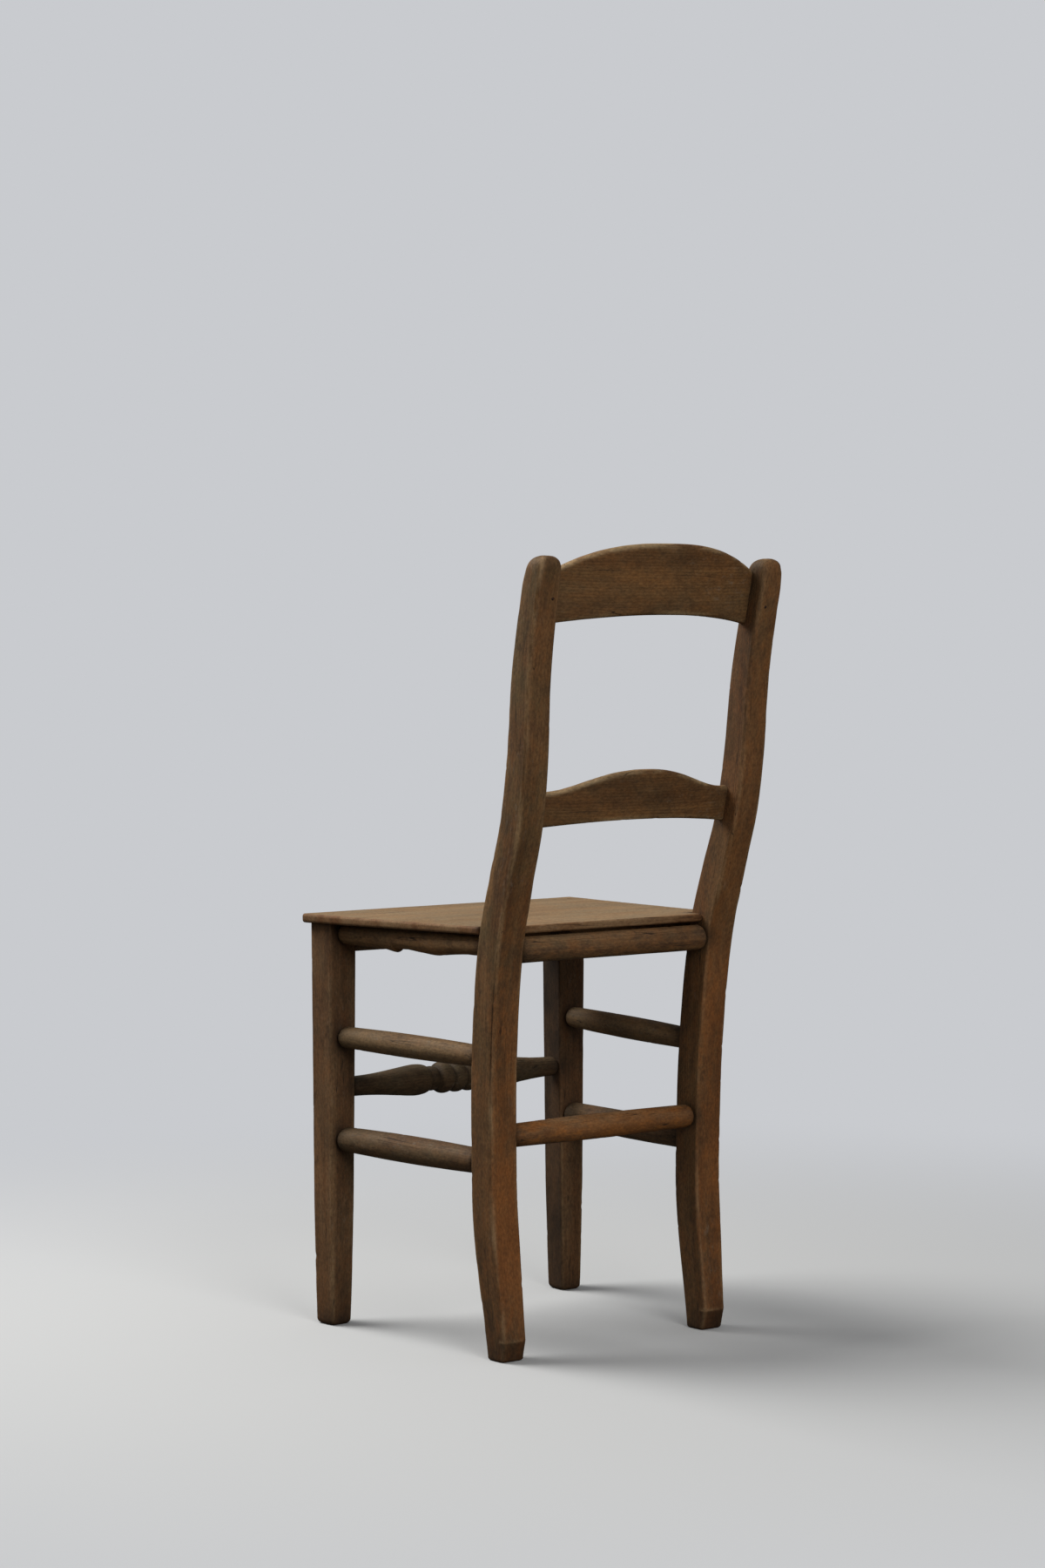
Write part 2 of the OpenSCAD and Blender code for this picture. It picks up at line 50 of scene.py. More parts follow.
POST_SIZE = 0.0365
POST_TIP_SIZE = 0.030
POST_FOOT_W = 0.0295
POST_FOOT_D = 0.034
POST_SPLAY = radians(1)
REAR_HALF_SPAN = 0.151
KNEE_FORWARD = 0.0165
FOOT_KICK = 0.019
BACK_RAKE = 0.086
TIP_DOME = 0.0175
HEEL_BEVEL_H = 0.023
HEEL_BEVEL_D = 0.0075
POST_TOE_H = 0.003
POST_TOE_IN = 0.0028
TIP_ROUND_H = 0.035
TIP_FULLNESS = 0.0012
ARRIS_LOW_R = 0.0026
ARRIS_HIGH_R = 0.0042
ARRIS_GLOW = 0.0027
POST_REAR = 0.008
ROD_MARK_R = 0.011
SLAT_MARK_R = 0.005
SLAT_AHEAD = 0.006
FLOOR_DIRT_H = 0.028
FLOOR_GAP = 0.0001
POST_CROWN = 0.0005
FLAT_POINTS = 13
CORNER_POINTS = 8
SPLIT_LOW = 0.285
SPLIT_HIGH = 0.43
SPLIT_DEPTH = 0.0005
SIDES = ((1, "left"), (-1, "right"))

post_low, post_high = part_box("rear_post_left")
post_top = post_high.z
rear_rail_z = (sum(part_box("seat_rail_rear"), Vector()) / 2).z
back_h = post_top - rear_rail_z
post_y0 = post_low.y + KNEE_FORWARD + POST_SIZE / 2

# The side curve of a post, as heights, and as set-backs from its place at the seat rails
curve_heights = np.array(
    [rear_rail_z * s for s in (0, 0.33, 0.52, 0.75, 1)]
    + [rear_rail_z + back_h * s for s in (0.18, 0.32, 0.48, 0.72, 1)]
)
curve_sets = np.array(
    [FOOT_KICK - KNEE_FORWARD, -0.91 * KNEE_FORWARD, -KNEE_FORWARD, -0.78 * KNEE_FORWARD, 0]
    + [BACK_RAKE * s for s in (0.24, 0.46, 0.60, 0.72, 1)]
)


def centre_of(node):
    """Centre of a node's box, as x, y and z."""
    low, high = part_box(node)
    return [(a + b) / 2 for a, b in zip(low, high)]


def blend(a, b, t):
    return a + (b - a) * t


def ease(t):
    t = np.clip(t, 0, 1)
    return t * t * (3 - 2 * t)


def above(z, start, over):
    """0 up to start, then easing to 1 over a distance."""
    return ease((z - start) / over)


def under(z, stop, over):
    """1 at first, easing to 0 over the last distance before stop."""
    return ease((stop - z) / over)


def smooth_curve(xs, ys, x):
    """Cubic curve through the points, level with their neighbours' slopes."""
    last = len(xs) - 1
    ahead = np.minimum(np.arange(len(xs)) + 1, last)
    behind = np.maximum(np.arange(len(xs)) - 1, 0)
    slopes = (ys[ahead] - ys[behind]) / (xs[ahead] - xs[behind])
    i = np.clip(np.searchsorted(xs, x, side="right") - 1, 0, last - 1)
    w = xs[i + 1] - xs[i]
    t = (x - xs[i]) / w
    rise = ys[i] * (1 + 2 * t) * (1 - t) ** 2 + slopes[i] * w * t * (1 - t) ** 2
    fall = ys[i + 1] * t * t * (3 - 2 * t) + slopes[i + 1] * w * t * t * (t - 1)
    return rise + fall


def quarter_round(at, length):
    """Share of a quarter round's depth that is cut away at a distance from its end."""
    return 1 - np.sin(np.arccos(np.clip(1 - at / length, 0, 1)))


def quarter_steps(length, count):
    """Places along a quarter round, from its end inwards."""
    return length * (1 - np.cos(np.linspace(0, pi / 2, count)))


def post_x(z):
    return REAR_HALF_SPAN + tan(POST_SPLAY) * (z - rear_rail_z)


def post_y(z):
    return post_y0 + smooth_curve(curve_heights, curve_sets, z)


def post_section(z):
    """Width and depth of a post at a height."""
    full_low = 0.32 * rear_rail_z
    full_high = rear_rail_z + 0.1 * back_h
    upper = blend(POST_SIZE, POST_TIP_SIZE, np.clip((z - full_high) / (post_top - full_high), 0, 1))
    lower = ease(z / full_low)
    width = np.where(z < full_high, blend(POST_FOOT_W, POST_SIZE, lower), upper)
    depth = np.where(z < full_high, blend(POST_FOOT_D, POST_SIZE, lower), upper)
    return width, depth


def square_rings(half_w, half_d, radius, flat_w, flat_d, corner, crown=0.0):
    """Rectangles with round corners, one a level, and how near each point is to a corner.
    flat_w, flat_d and corner are counts of points, and crown is how far the flats swell."""
    half_w, half_d, radius = (np.asarray(v, float)[:, None] for v in (half_w, half_d, radius))
    xs, ys = [], []
    turns = np.linspace(0, pi / 2, corner)
    for q, (sx, sy) in enumerate(((1, 1), (-1, 1), (-1, -1), (1, -1))):
        angle = q * pi / 2 + turns
        x = sx * (half_w - radius) + radius * np.cos(angle)
        y = sy * (half_d - radius) + radius * np.sin(angle)
        along_w = q % 2 == 0
        steps = np.arange(1, (flat_w if along_w else flat_d) + 1)
        t = steps / (steps[-1] + 1)
        swell = 4 * crown * t * (1 - t)
        if along_w:
            flat_x = sx * (half_w - radius) * (1 - 2 * t)
            flat_y = sy * (half_d + swell)
        else:
            flat_x = sx * (half_w + swell)
            flat_y = sy * (half_d - radius) * (1 - 2 * t)
        xs += [x, flat_x + 0 * half_w]
        ys += [y, flat_y + 0 * half_w]
    x = np.concatenate(xs, 1)
    y = np.concatenate(ys, 1)
    reach = np.hypot(abs(x) - half_w + 0.3 * radius, abs(y) - half_d + 0.3 * radius)
    return x, y, np.exp(-((reach / ARRIS_GLOW) ** 2))


def ring_normals(rings):
    around = np.roll(rings, -1, 1) - np.roll(rings, 1, 1)
    normals = np.cross(around, np.gradient(rings, axis=0))
    return normals / np.maximum(np.linalg.norm(normals, axis=2, keepdims=True), 1e-12)


def unevenness(log, across, along, seed):
    """Smooth noise over places in a log: so many waves a metre across it and along it."""
    places = log.reshape(-1, 3) * (across, across, along) + seed
    return np.array([noise.noise(p) for p in places.tolist()]).reshape(log.shape[:2])


def hand_worn(rings, log, edge, seed, wave=0.00025, tool=0.00012, chip=0.0008, dents=30):
    """Hand tools leave long waves and short marks, and years leave chipped arrises and dents."""
    rng = np.random.default_rng(seed)
    depth = wave * unevenness(log, 35, 6, seed) + tool * unevenness(log, 150, 28, seed + 7)
    depth -= chip * edge * np.clip(unevenness(log, 90, 45, seed + 13) - 0.12, 0, 1)
    flat = rings.reshape(-1, 3)
    hollow = np.zeros(len(flat))
    for _ in range(dents):
        centre = flat[rng.integers(len(flat))]
        size = rng.uniform(0.002, 0.006)
        away = np.linalg.norm(flat - centre, axis=1) / size
        hollow += rng.uniform(0.0001, 0.0005) * np.clip(1 - away * away, 0, 1) ** 2
    depth -= hollow.reshape(depth.shape) * (1 + edge)
    return rings + ring_normals(rings) * depth[:, :, None]


def joint_dirt_and_shade(rings, joints, reach=0.007):
    """Dirt and painted contact shade round each joint, given as a place and a radius."""
    dirt_and_shade = np.zeros(rings.shape[:2])
    for place, radius in joints:
        away = np.linalg.norm(rings - np.array(place), axis=2) - radius
        dirt_and_shade = np.maximum(dirt_and_shade, np.exp(-np.clip(away, 0, None) / reach))
    return dirt_and_shade


def floor_dirt(z, full_h):
    """Dirt that wet floors leave on a foot: full up to a height, and fading above it."""
    return 0.9 * np.exp(-np.clip(z - full_h, 0, None) / FLOOR_DIRT_H)


def wooden_piece(name, rings, log, edge, dirt_and_shade, warmth):
    """Mesh through the rings, closed at both ends. Its points keep their place in the log, and
    how far each is pale with wear and painted highlight, dark with dirt and painted shade, and
    warm in colour, for the wood's material."""
    levels, count = rings.shape[:2]
    below = np.arange(levels - 1)[:, None] * count
    here = np.arange(count)[None, :]
    after = (here + 1) % count
    walls = np.stack([below + here, below + after, below + count + after, below + count + here], -1)
    ends = [list(range(count))[::-1], list(range((levels - 1) * count, levels * count))]
    mesh = bpy.data.meshes.new(name)
    mesh.from_pydata(rings.reshape(-1, 3).tolist(), [], walls.reshape(-1, 4).tolist() + ends)
    age_and_painted_light = np.stack(np.broadcast_arrays(edge, dirt_and_shade, warmth), -1)
    for label, values in (("log", log), ("age_and_painted_light", age_and_painted_light)):
        layer = mesh.attributes.new(label, "FLOAT_VECTOR", "POINT")
        layer.data.foreach_set("vector", values.astype(np.float32).ravel())
    mesh.shade_smooth()
    piece = bpy.data.objects.new(name, mesh)
    bpy.context.scene.collection.objects.link(piece)
    return piece


def stand_for(piece, material, slot, *nodes):
    """Gives a piece its material, and puts it in the place of the frame's own solids."""
    piece.data.materials.append(material)
    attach(piece, "root")
    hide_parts(*nodes)


def tint(code):
    """Linear colour of a six-digit code."""
    parts = [int(code[i:i + 2], 16) / 255 for i in (0, 2, 4)]
    return [((p + 0.055) / 1.055) ** 2.4 if p > 0.04045 else p / 12.92 for p in parts] + [1]


def old_beech(name, pale, middle, deep, warm, rubbed_and_highlight_tone="b8946a", patina="6d6248", mottled=0.55,
              cloudy=0.15):
    """Bare beech: streaks and growth rings along the log, short ray flecks, fine cracks, grey
    patina and warm patches, traces of chalky paint, arrises and tops pale with wear and with
    painted highlight, and dark dirt and painted shade. Fine grit and broad clouds make it lighter
    and darker, by cloudy either way."""
    grime_and_shade = tint("2a1f15")
    chalk_grey = tint("b3aa98")
    material = bpy.data.materials.new(name)
    material.use_nodes = True
    tree = material.node_tree
    tree.nodes.clear()

    def add(kind, *values, out=0, **settings):
        node = tree.nodes.new("ShaderNode" + kind)
        for key, value in settings.items():
            setattr(node, key, value)
        for socket, value in zip(node.inputs, values):
            if isinstance(value, bpy.types.NodeSocket):
                tree.links.new(value, socket)
            elif value is not None:
                socket.default_value = value
        return node.outputs[out]

    def maths(operation, a, b=0.5):
        return add("Math", a, b, operation=operation)

    def ramp(value, low, high, start=0.0, stop=1.0):
        return add("MapRange", value, low, high, start, stop)

    def coat(amount, under, over, way="MIX"):
        node = tree.nodes.new("ShaderNodeMix")
        node.data_type = "RGBA"
        node.blend_type = way
        for index, value in ((0, amount), (6, under), (7, over)):
            if isinstance(value, bpy.types.NodeSocket):
                tree.links.new(value, node.inputs[index])
            else:
                node.inputs[index].default_value = value
        return node.outputs[2]

    def stretched(place, across, along, detail=2.0, rough=0.5, offset=0.0):
        scaled = add("VectorMath", place, (across, across, along), operation="MULTIPLY")
        moved = add("VectorMath", scaled, (offset, offset, offset), operation="ADD")
        return add("TexNoise", moved, None, 1.0, detail, rough)

    log = add("Attribute", out=1, attribute_name="log")
    age_and_painted_light = add("SeparateXYZ", add("Attribute", out=1, attribute_name="age_and_painted_light"))
    wear_and_highlight, dirty_and_shaded, warmth = (age_and_painted_light.node.outputs[i] for i in range(3))

    wobble = add("VectorMath", log, (16, 16, 5), operation="MULTIPLY")
    wobble = add("TexNoise", wobble, None, 1.0, 2.0, 0.5, out=1)
    wobble = add("VectorMath", wobble, (0.5, 0.5, 0.5), operation="SUBTRACT")
    wobble = add("VectorMath", wobble, (0.007, 0.007, 0), operation="MULTIPLY")
    fibre_place = add("VectorMath", log, wobble, operation="ADD")
    pith_place = add("VectorMath", fibre_place, (0.035, 0.06, 0), operation="ADD")

    growth = add("TexWave", pith_place, 105.0, 1.2, 2.0, 1.5, 0.5, out=1,
                 wave_type="RINGS", rings_direction="Z")
    growth = maths("POWER", growth, 2.5)
    fibre = stretched(fibre_place, 1000, 22, 3.0, 0.6)
    streak = stretched(fibre_place, 210, 5, 3.0, 0.55, 3.1)
    band = stretched(log, 45, 2.2, 2.0, 0.5, 7.7)
    blotch = stretched(log, 26, 15, 4.0, 0.62, 1.3)
    fleck = ramp(stretched(fibre_place, 1500, 190, 1.0, 0.5, 5.5), 0.60, 0.70)
    crack_line = maths("ABSOLUTE", maths("SUBTRACT", stretched(fibre_place, 120, 2.4, 1.0, 0.4, 9.2)))
    crack = maths("MULTIPLY", ramp(crack_line, 0.0015, 0.0065, 1.0, 0.0),
                  ramp(stretched(log, 30, 8, 1.0, 0.5, 2.9), 0.52, 0.60))
    stain = ramp(stretched(log, 75, 40, 3.0, 0.65, 6.4), 0.60, 0.74)
    mottle = stretched(log, 120, 60, 4.0, 0.66, 12.1)
    chalk = maths("MULTIPLY", ramp(stretched(log, 170, 75, 4.0, 0.7, 14.3), 0.57, 0.70),
                  ramp(stretched(log, 17, 7, 2.0, 0.5, 16.2), 0.52, 0.66))

    colour = coat(ramp(streak, 0.18, 0.66), tint(deep), tint(middle))
    colour = coat(ramp(band, 0.36, 0.76, 0.0, 0.85), colour, tint(pale))
    colour = coat(maths("MULTIPLY", growth, 0.22), colour, tint(deep))
    colour = coat(ramp(fibre, 0.35, 0.75, 0.0, 0.24), colour, tint(deep))
    colour = coat(maths("MULTIPLY", fleck, 0.34), colour, tint(deep))
    reddened = maths("MULTIPLY", ramp(mottle, 0.46, 0.62), ramp(warmth, 0.0, 1.0, 0.3, 1.0))
    colour = coat(maths("MULTIPLY", reddened, mottled), colour, tint(warm))
    colour = coat(maths("MULTIPLY", ramp(mottle, 0.48, 0.34), mottled), colour, tint(deep))
    greyed = maths("MULTIPLY", ramp(blotch, 0.42, 0.62), maths("SUBTRACT", 1.0, warmth))
    colour = coat(maths("MULTIPLY", greyed, 0.42), colour, tint(patina))
    warmed = maths("MULTIPLY", ramp(stretched(log, 20, 7, 3.0, 0.6, 4.2), 0.30, 0.62), warmth)
    colour = coat(maths("MULTIPLY", warmed, 0.75), colour, tint(warm))
    colour = coat(maths("MULTIPLY", chalk, 0.20), colour, chalk_grey)
    colour = coat(maths("MULTIPLY", stain, 0.35), colour, grime_and_shade)
    # Pale wear on arrises, and painted highlights along arrises and the tops of rods and slats
    rubbed_and_highlit = maths("MULTIPLY", wear_and_highlight, ramp(stretched(log, 60, 14, 3.0, 0.6, 8.8), 0.40, 0.62))
    colour = coat(maths("MULTIPLY", rubbed_and_highlit, 0.72), colour, tint(rubbed_and_highlight_tone))
    # Dark dirt, and painted shade at joints, under the board and on shaded faces
    soiled_and_shaded = maths("MULTIPLY", dirty_and_shaded, ramp(blotch, 0.25, 0.65, 0.55, 1.0))
    colour = coat(maths("MULTIPLY", soiled_and_shaded, 0.85), colour, grime_and_shade)
    colour = coat(maths("MULTIPLY", crack, 0.8), colour, grime_and_shade)

    grit = stretched(log, 430, 240, 2.0, 0.6, 20.3)
    colour = coat(1.0, colour, ramp(grit, 0.30, 0.70, 0.74, 1.24), "MULTIPLY")
    cloud = ramp(stretched(log, 34, 12, 3.0, 0.6, 23.7), 0.34, 0.66, 1 - cloudy, 1 + cloudy)
    colour = coat(1.0, colour, cloud, "MULTIPLY")

    height = maths("MULTIPLY", fibre, 0.5)
    height = maths("SUBTRACT", height, maths("MULTIPLY", growth, 0.25))
    height = maths("SUBTRACT", height, maths("MULTIPLY", fleck, 0.25))
    height = maths("SUBTRACT", height, maths("MULTIPLY", crack, 1.6))
    bump = add("Bump", 0.55, 0.0007, None, height, out=0)

    surface = tree.nodes.new("ShaderNodeBsdfPrincipled")
    tree.links.new(colour, surface.inputs["Base Color"])
    dryness = maths("ADD", ramp(fibre, 0.3, 0.7, 0.62, 0.80), maths("MULTIPLY", wear_and_highlight, -0.10))
    tree.links.new(dryness, surface.inputs["Roughness"])
    tree.links.new(bump, surface.inputs["Normal"])
    surface.inputs["Specular IOR Level"].default_value = 0.30
    shown = tree.nodes.new("ShaderNodeOutputMaterial")
    tree.links.new(surface.outputs[0], shown.inputs["Surface"])
    return material


def post_levels():
    foot = quarter_steps(POST_TOE_H, 6)
    shaft = np.linspace(POST_TOE_H, post_top - TIP_DOME, 385)[1:]
    dome = post_top - TIP_DOME * (1 - np.sin(np.linspace(0, radians(87), 22)[1:]))
    return np.concatenate([foot, shaft, dome])


def post_rings(side):
    z = post_levels()
    width, depth = post_section(z)
    rise = np.clip((z - post_top + TIP_DOME) / TIP_DOME, 0, 1)
    share = (1 - rise ** 3) ** (1 / 2.3)
    toe = POST_TOE_IN * quarter_round(z, POST_TOE_H)
    heel = HEEL_BEVEL_D * np.clip(1 - z / HEEL_BEVEL_H, 0, 1)
    rounding = ease((z - post_top + TIP_ROUND_H) / TIP_ROUND_H)
    half_w = (width / 2 + TIP_FULLNESS * rounding) * share - toe
    half_d = depth / 2 * share - toe - heel / 2
    radius = blend(ARRIS_LOW_R, ARRIS_HIGH_R, above(z, 0.45, 0.35))
    radius = np.minimum(radius, 0.9 * half_w)
    radius = blend(radius, 0.72 * np.minimum(half_w, half_d), rounding)
    points = FLAT_POINTS, FLAT_POINTS, CORNER_POINTS
    x, y, edge = square_rings(half_w, half_d, radius, *points, POST_CROWN)
    centre_x = post_x(z) - TIP_FULLNESS * rounding
    centre_y = post_y(z) - heel / 2
    heights = np.broadcast_to(z[:, None], x.shape)
    rings = np.stack([side * centre_x[:, None] + x, centre_y[:, None] + y, heights], -1)
    log_y = y + 0.35 * (centre_y[:, None] - post_y0)
    log = np.stack([x + 0.05 * side, log_y, heights], -1)
    return rings, log, edge


post_beech = old_beech("post_beech", "a07b50", "7a5734", "543924", "985c2b", patina="675b3a")

for side, label in SIDES:
    rings, log, edge = post_rings(side)
    z = rings[:, :, 2]
    # Dirt and painted contact shade round the joints of the rods and slats
    joints = []
    for node in ("seat_rail_rear", "rear_stretcher"):
        _, rod_y, rod_z = centre_of(node)
        end_x = post_x(rod_z) - POST_SIZE / 2
        joints.append(((side * end_x, rod_y, rod_z), ROD_MARK_R))
    for node in ("seat_rail", "side_stretcher_upper", "side_stretcher_lower"):
        rod_z = centre_of(f"{node}_{label}")[2]
        joints.append(((side * post_x(rod_z), post_y(rod_z) - POST_SIZE / 2, rod_z), ROD_MARK_R))
    for node in ("crest_rail", "mid_rail"):
        low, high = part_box(node)
        for share in np.linspace(0.0, 0.62, 7):
            slat_z = blend(low.z, high.z, share)
            inner_x = post_x(slat_z) - POST_TIP_SIZE / 2
            joints.append(((side * inner_x, post_y(slat_z) - SLAT_AHEAD, slat_z), SLAT_MARK_R))
    dirt_and_shade = 0.85 * joint_dirt_and_shade(rings, joints)
    dirt_and_shade = np.maximum(dirt_and_shade, floor_dirt(z, 0.004))

    # The heel's bevel has a painted highlight along its upper arris and painted shade on the downward
    # facet below it
    behind = rings[:, :, 1] > post_y(z) + POST_REAR
    edge = np.maximum(edge, behind * np.exp(-(((z - HEEL_BEVEL_H) / 0.0018) ** 2)))
    dirt_and_shade = np.maximum(dirt_and_shade, 0.95 * behind * (z < HEEL_BEVEL_H - 0.001))

    # Rear faces are reddish low down, inner faces carry painted shade, most of all high up, and outer
    # ones are greyer, and darker and a little warmer low down. Inner arrises get less of the pale
    # wear and painted highlight.
    facing = ring_normals(rings)
    inward = np.clip(-side * facing[:, :, 0], 0, 1)
    outward = np.clip(side * facing[:, :, 0], 0, 1)
    rearward = np.clip(facing[:, :, 1], 0, 1)
    dirt_and_shade = np.maximum(dirt_and_shade, inward * blend(0.2, 0.55, above(z, 0.5, 0.3)))
    dirt_and_shade = np.maximum(dirt_and_shade, 0.24 * outward * under(z, 0.42, 0.25))
    warmth = rearward * blend(0.95, 0.25 if side > 0 else 0.5, above(z, 0.25, 0.35))
    warmth = np.maximum(warmth, 0.35 * outward * under(z, 0.5, 0.25))
    warmth = np.maximum(warmth, 0.3 * inward)
    edge = edge * (1 - 0.6 * ease(1.6 * inward) * (z > HEEL_BEVEL_H + 0.004))
    rings = hand_worn(rings, log, edge, 11 + side, dents=90)

    # A long split runs beside the left post's outer rear arris
    if side > 0:
        beside_arris = np.isin(np.arange(z.shape[1]), (1, 2))
        split = above(z, SPLIT_LOW, 0.02) * under(z, SPLIT_HIGH, 0.03) * beside_arris
        dirt_and_shade = np.maximum(dirt_and_shade, split)
        rings = rings - facing * (SPLIT_DEPTH * split)[:, :, None]
    rings[:, :, 2] = np.maximum(rings[:, :, 2], FLOOR_GAP)
    piece = wooden_piece(f"post_{label}", rings, log, edge, dirt_and_shade, warmth)
    stand_for(piece, post_beech, "aged_wood", f"rear_post_{label}")

# ---- Rear rods ----
# A round seat rail and a round stretcher, shaved from split beech, hold the posts apart. Their
# domed shoulders stand against the posts, and their thinner ends are glued in bored holes.

TENON_R = 0.006
TENON_LEN = 0.012
DOME_LEN = 0.007
SEAM = 0.0003
REAR_RAIL_R = 0.0142
REAR_STRETCHER_R = 0.0140


def rod_profile(length, swell_r, step=0.0015, end_share=0.9):
    """Places along a rod and its radius there, from one tenon's end to the other's."""
    end_r = end_share * swell_r
    turn = np.linspace(0, pi / 2, 9)
    dome_at = DOME_LEN * (1 - np.cos(turn))
    dome_r = blend(TENON_R, end_r, np.sin(turn))
    body_at = np.arange(DOME_LEN, length - DOME_LEN, step)[1:]
    body_r = blend(end_r, swell_r, np.sin(pi * (body_at - DOME_LEN) / (length - 2 * DOME_LEN)))
    between = [dome_at, body_at, length - dome_at[::-1]]
    at = np.concatenate([[-TENON_LEN], *between, [length + TENON_LEN]])
    radius = np.concatenate([[TENON_R], dome_r, body_r, dome_r[::-1], [TENON_R]])
    return at, radius


def rod_rings(start, stop, at, radius, seed, count=56, flats=0.03):
    """A rod from start to stop, its sides shaved in long flats that wander as they go. Each
    rod has its own place in the log."""
    start, stop = Vector(start), Vector(stop)
    axis = (stop - start).normalized()
    side = axis.cross(Vector((0, 0, 1))).normalized()
    over = side.cross(axis)
    angle = np.linspace(0, 2 * pi, count, endpoint=False)[None, :]
    rng = np.random.default_rng(seed)
    shaved = np.zeros((len(at), count))
    for lobes in (3, 5, 7):
        drift = rng.uniform(0, 2 * pi) + rng.uniform(-6, 6) * at[:, None]
        shaved += flats / lobes * np.cos(lobes * angle + drift)
    span = radius[:, None] * (1 + shaved)
    u = span * np.cos(angle)
    v = -span * np.sin(angle)
    rings = np.array(start) + at[:, None, None] * np.array(axis)
    rings = rings + u[:, :, None] * np.array(side) + v[:, :, None] * np.array(over)
    log = np.stack([u + 0.01 * seed, v + 0.02, np.broadcast_to(at[:, None], u.shape)], -1)
    return rings, log, np.zeros(u.shape)


def rod_end_dirt_and_shade(at, length, count, full=0.002, reach=0.008):
    """Dirt and painted contact shade in the corner between a rod's dome and what it stands against.
    """
    near = np.minimum(at, length - at)
    dirt_and_shade = np.exp(-np.clip(near - full, 0, None) / reach)
    return np.broadcast_to(dirt_and_shade[:, None], (len(at), count))


def rod_piece(name, start, stop, swell_r, seed, warmth, node, material, slot="aged_wood",
              end_share=0.9, rubbed_and_highlit=0.25):
    """A plain rod with its shoulders at start and stop, with a painted highlight along its top."""
    length = (Vector(stop) - Vector(start)).length
    at, radius = rod_profile(length, swell_r, end_share=end_share)
    rings, log, edge = rod_rings(start, stop, at, radius, seed)
    dirt_and_shade = 0.8 * rod_end_dirt_and_shade(at, length, rings.shape[1])
    # Painted highlight along the rod's top
    edge = edge + rubbed_and_highlit * np.clip(ring_normals(rings)[:, :, 2], 0, 1)
    rings = hand_worn(rings, log, 0 * edge, seed, tool=0.00015, dents=45)
    piece = wooden_piece(name, rings, log, edge, dirt_and_shade, warmth + 0 * edge)
    stand_for(piece, material, slot, node)


rear_rod_beech = old_beech("rear_rod_beech", "a88255", "84603c", "5a3d28", "a4662f", mottled=0.8)

for name, node, swell_r, end_share, warmth, rubbed_and_highlit in (
    ("rear_rail", "seat_rail_rear", REAR_RAIL_R, 1.0, 0.05, 0.25),
    ("low_rear_rod", "rear_stretcher", REAR_STRETCHER_R, 0.92, 0.95, 0.75),
):
    _, rod_y, rod_z = centre_of(node)
    half = post_x(rod_z) - post_section(np.array(rod_z))[0] / 2 - TENON_R * tan(POST_SPLAY) - SEAM
    ends = (-half, rod_y, rod_z), (half, rod_y, rod_z)
    rod_piece(name, *ends, swell_r, len(node), warmth, node, rear_rod_beech,
              end_share=end_share, rubbed_and_highlit=rubbed_and_highlit)

# ---- Crest rail and middle rail ----
# Thin boards, sawn to an arched outline and bent to a shallow bow, let into mortises in the
# posts. Their edges are rounded over and pale with wear, and their top edges carry a painted
# highlight.

SLAT_T = 0.010
SLAT_BOW = 0.017
SLAT_INSET = 0.018
CREST_END_H = 0.0575
CREST_CROWN = 0.033
CREST_ARCH = 0.0125
CREST_SLOPE = radians(0.6)
MID_END_H = 0.040
MID_CROWN = 0.026
MID_ARCH = 0.0105
CREST_LOW = 0.072
CREST_DROP = 0.003
MID_LOW = 0.1095
SEAT_H = 0.468
SLAT_TENON_LEN = 0.006
SLAT_EDGE_R = 0.0042


def crest_top(t):
    return CREST_END_H + CREST_CROWN * (1 - abs(t) ** 2.6)


def mid_top(t):
    return MID_END_H + MID_CROWN * (0.5 + 0.5 * np.cos(pi * abs(t) ** 1.2))


def slat_rings(z0, end_h, arch, top, slope, seed, drop):
    """A bent board between the posts, standing on height z0 and leaning as they do. Its lower
    edge was sawn off its line and runs down by drop at the right end."""
    z1 = z0 + end_h
    set0, set1 = (float(post_y(np.array(h))) for h in (z0, z1))
    lean = np.arctan2(set1 - set0, z1 - z0)
    back = set0 + float(post_section(np.array(z0))[1]) / 2 - SLAT_INSET
    half = post_x(z0) - float(post_section(np.array(z0))[0]) / 2
    reach = half + SLAT_TENON_LEN
    bow_r = (half * half + SLAT_BOW * SLAT_BOW) / (2 * SLAT_BOW)
    across = np.linspace(-reach, reach, 215)
    t = np.clip(across / half, -1, 1)
    low = arch * (1 - t * t) - across * tan(slope) - drop * np.clip(-t, 0, 1) ** 3
    high = top(t) - across * tan(slope)
    half_h = (high - low) / 2
    round_over = np.full(len(t), SLAT_EDGE_R)
    depth, up, edge = square_rings(0 * t + SLAT_T / 2, half_h, round_over, 3, 54, CORNER_POINTS)
    turn = np.arcsin(across / (bow_r - SLAT_T / 2))[:, None]
    radius = bow_r - SLAT_T / 2 + depth
    up = up + ((high + low) / 2)[:, None]
    x = radius * np.sin(turn)
    y = radius * np.cos(turn) - bow_r + SLAT_BOW
    rings = np.stack([x, back + y * np.cos(lean) + up * np.sin(lean),
                      z0 + up * np.cos(lean) - y * np.sin(lean)], -1)
    log = np.stack([up + 0.02 * seed, depth + 0.03, np.broadcast_to(across[:, None], up.shape)], -1)
    return rings, log, edge


slat_beech = old_beech("slat_beech", "a07a4c", "7e5933", "5b3e24", "8f5c2e", "d2b283")

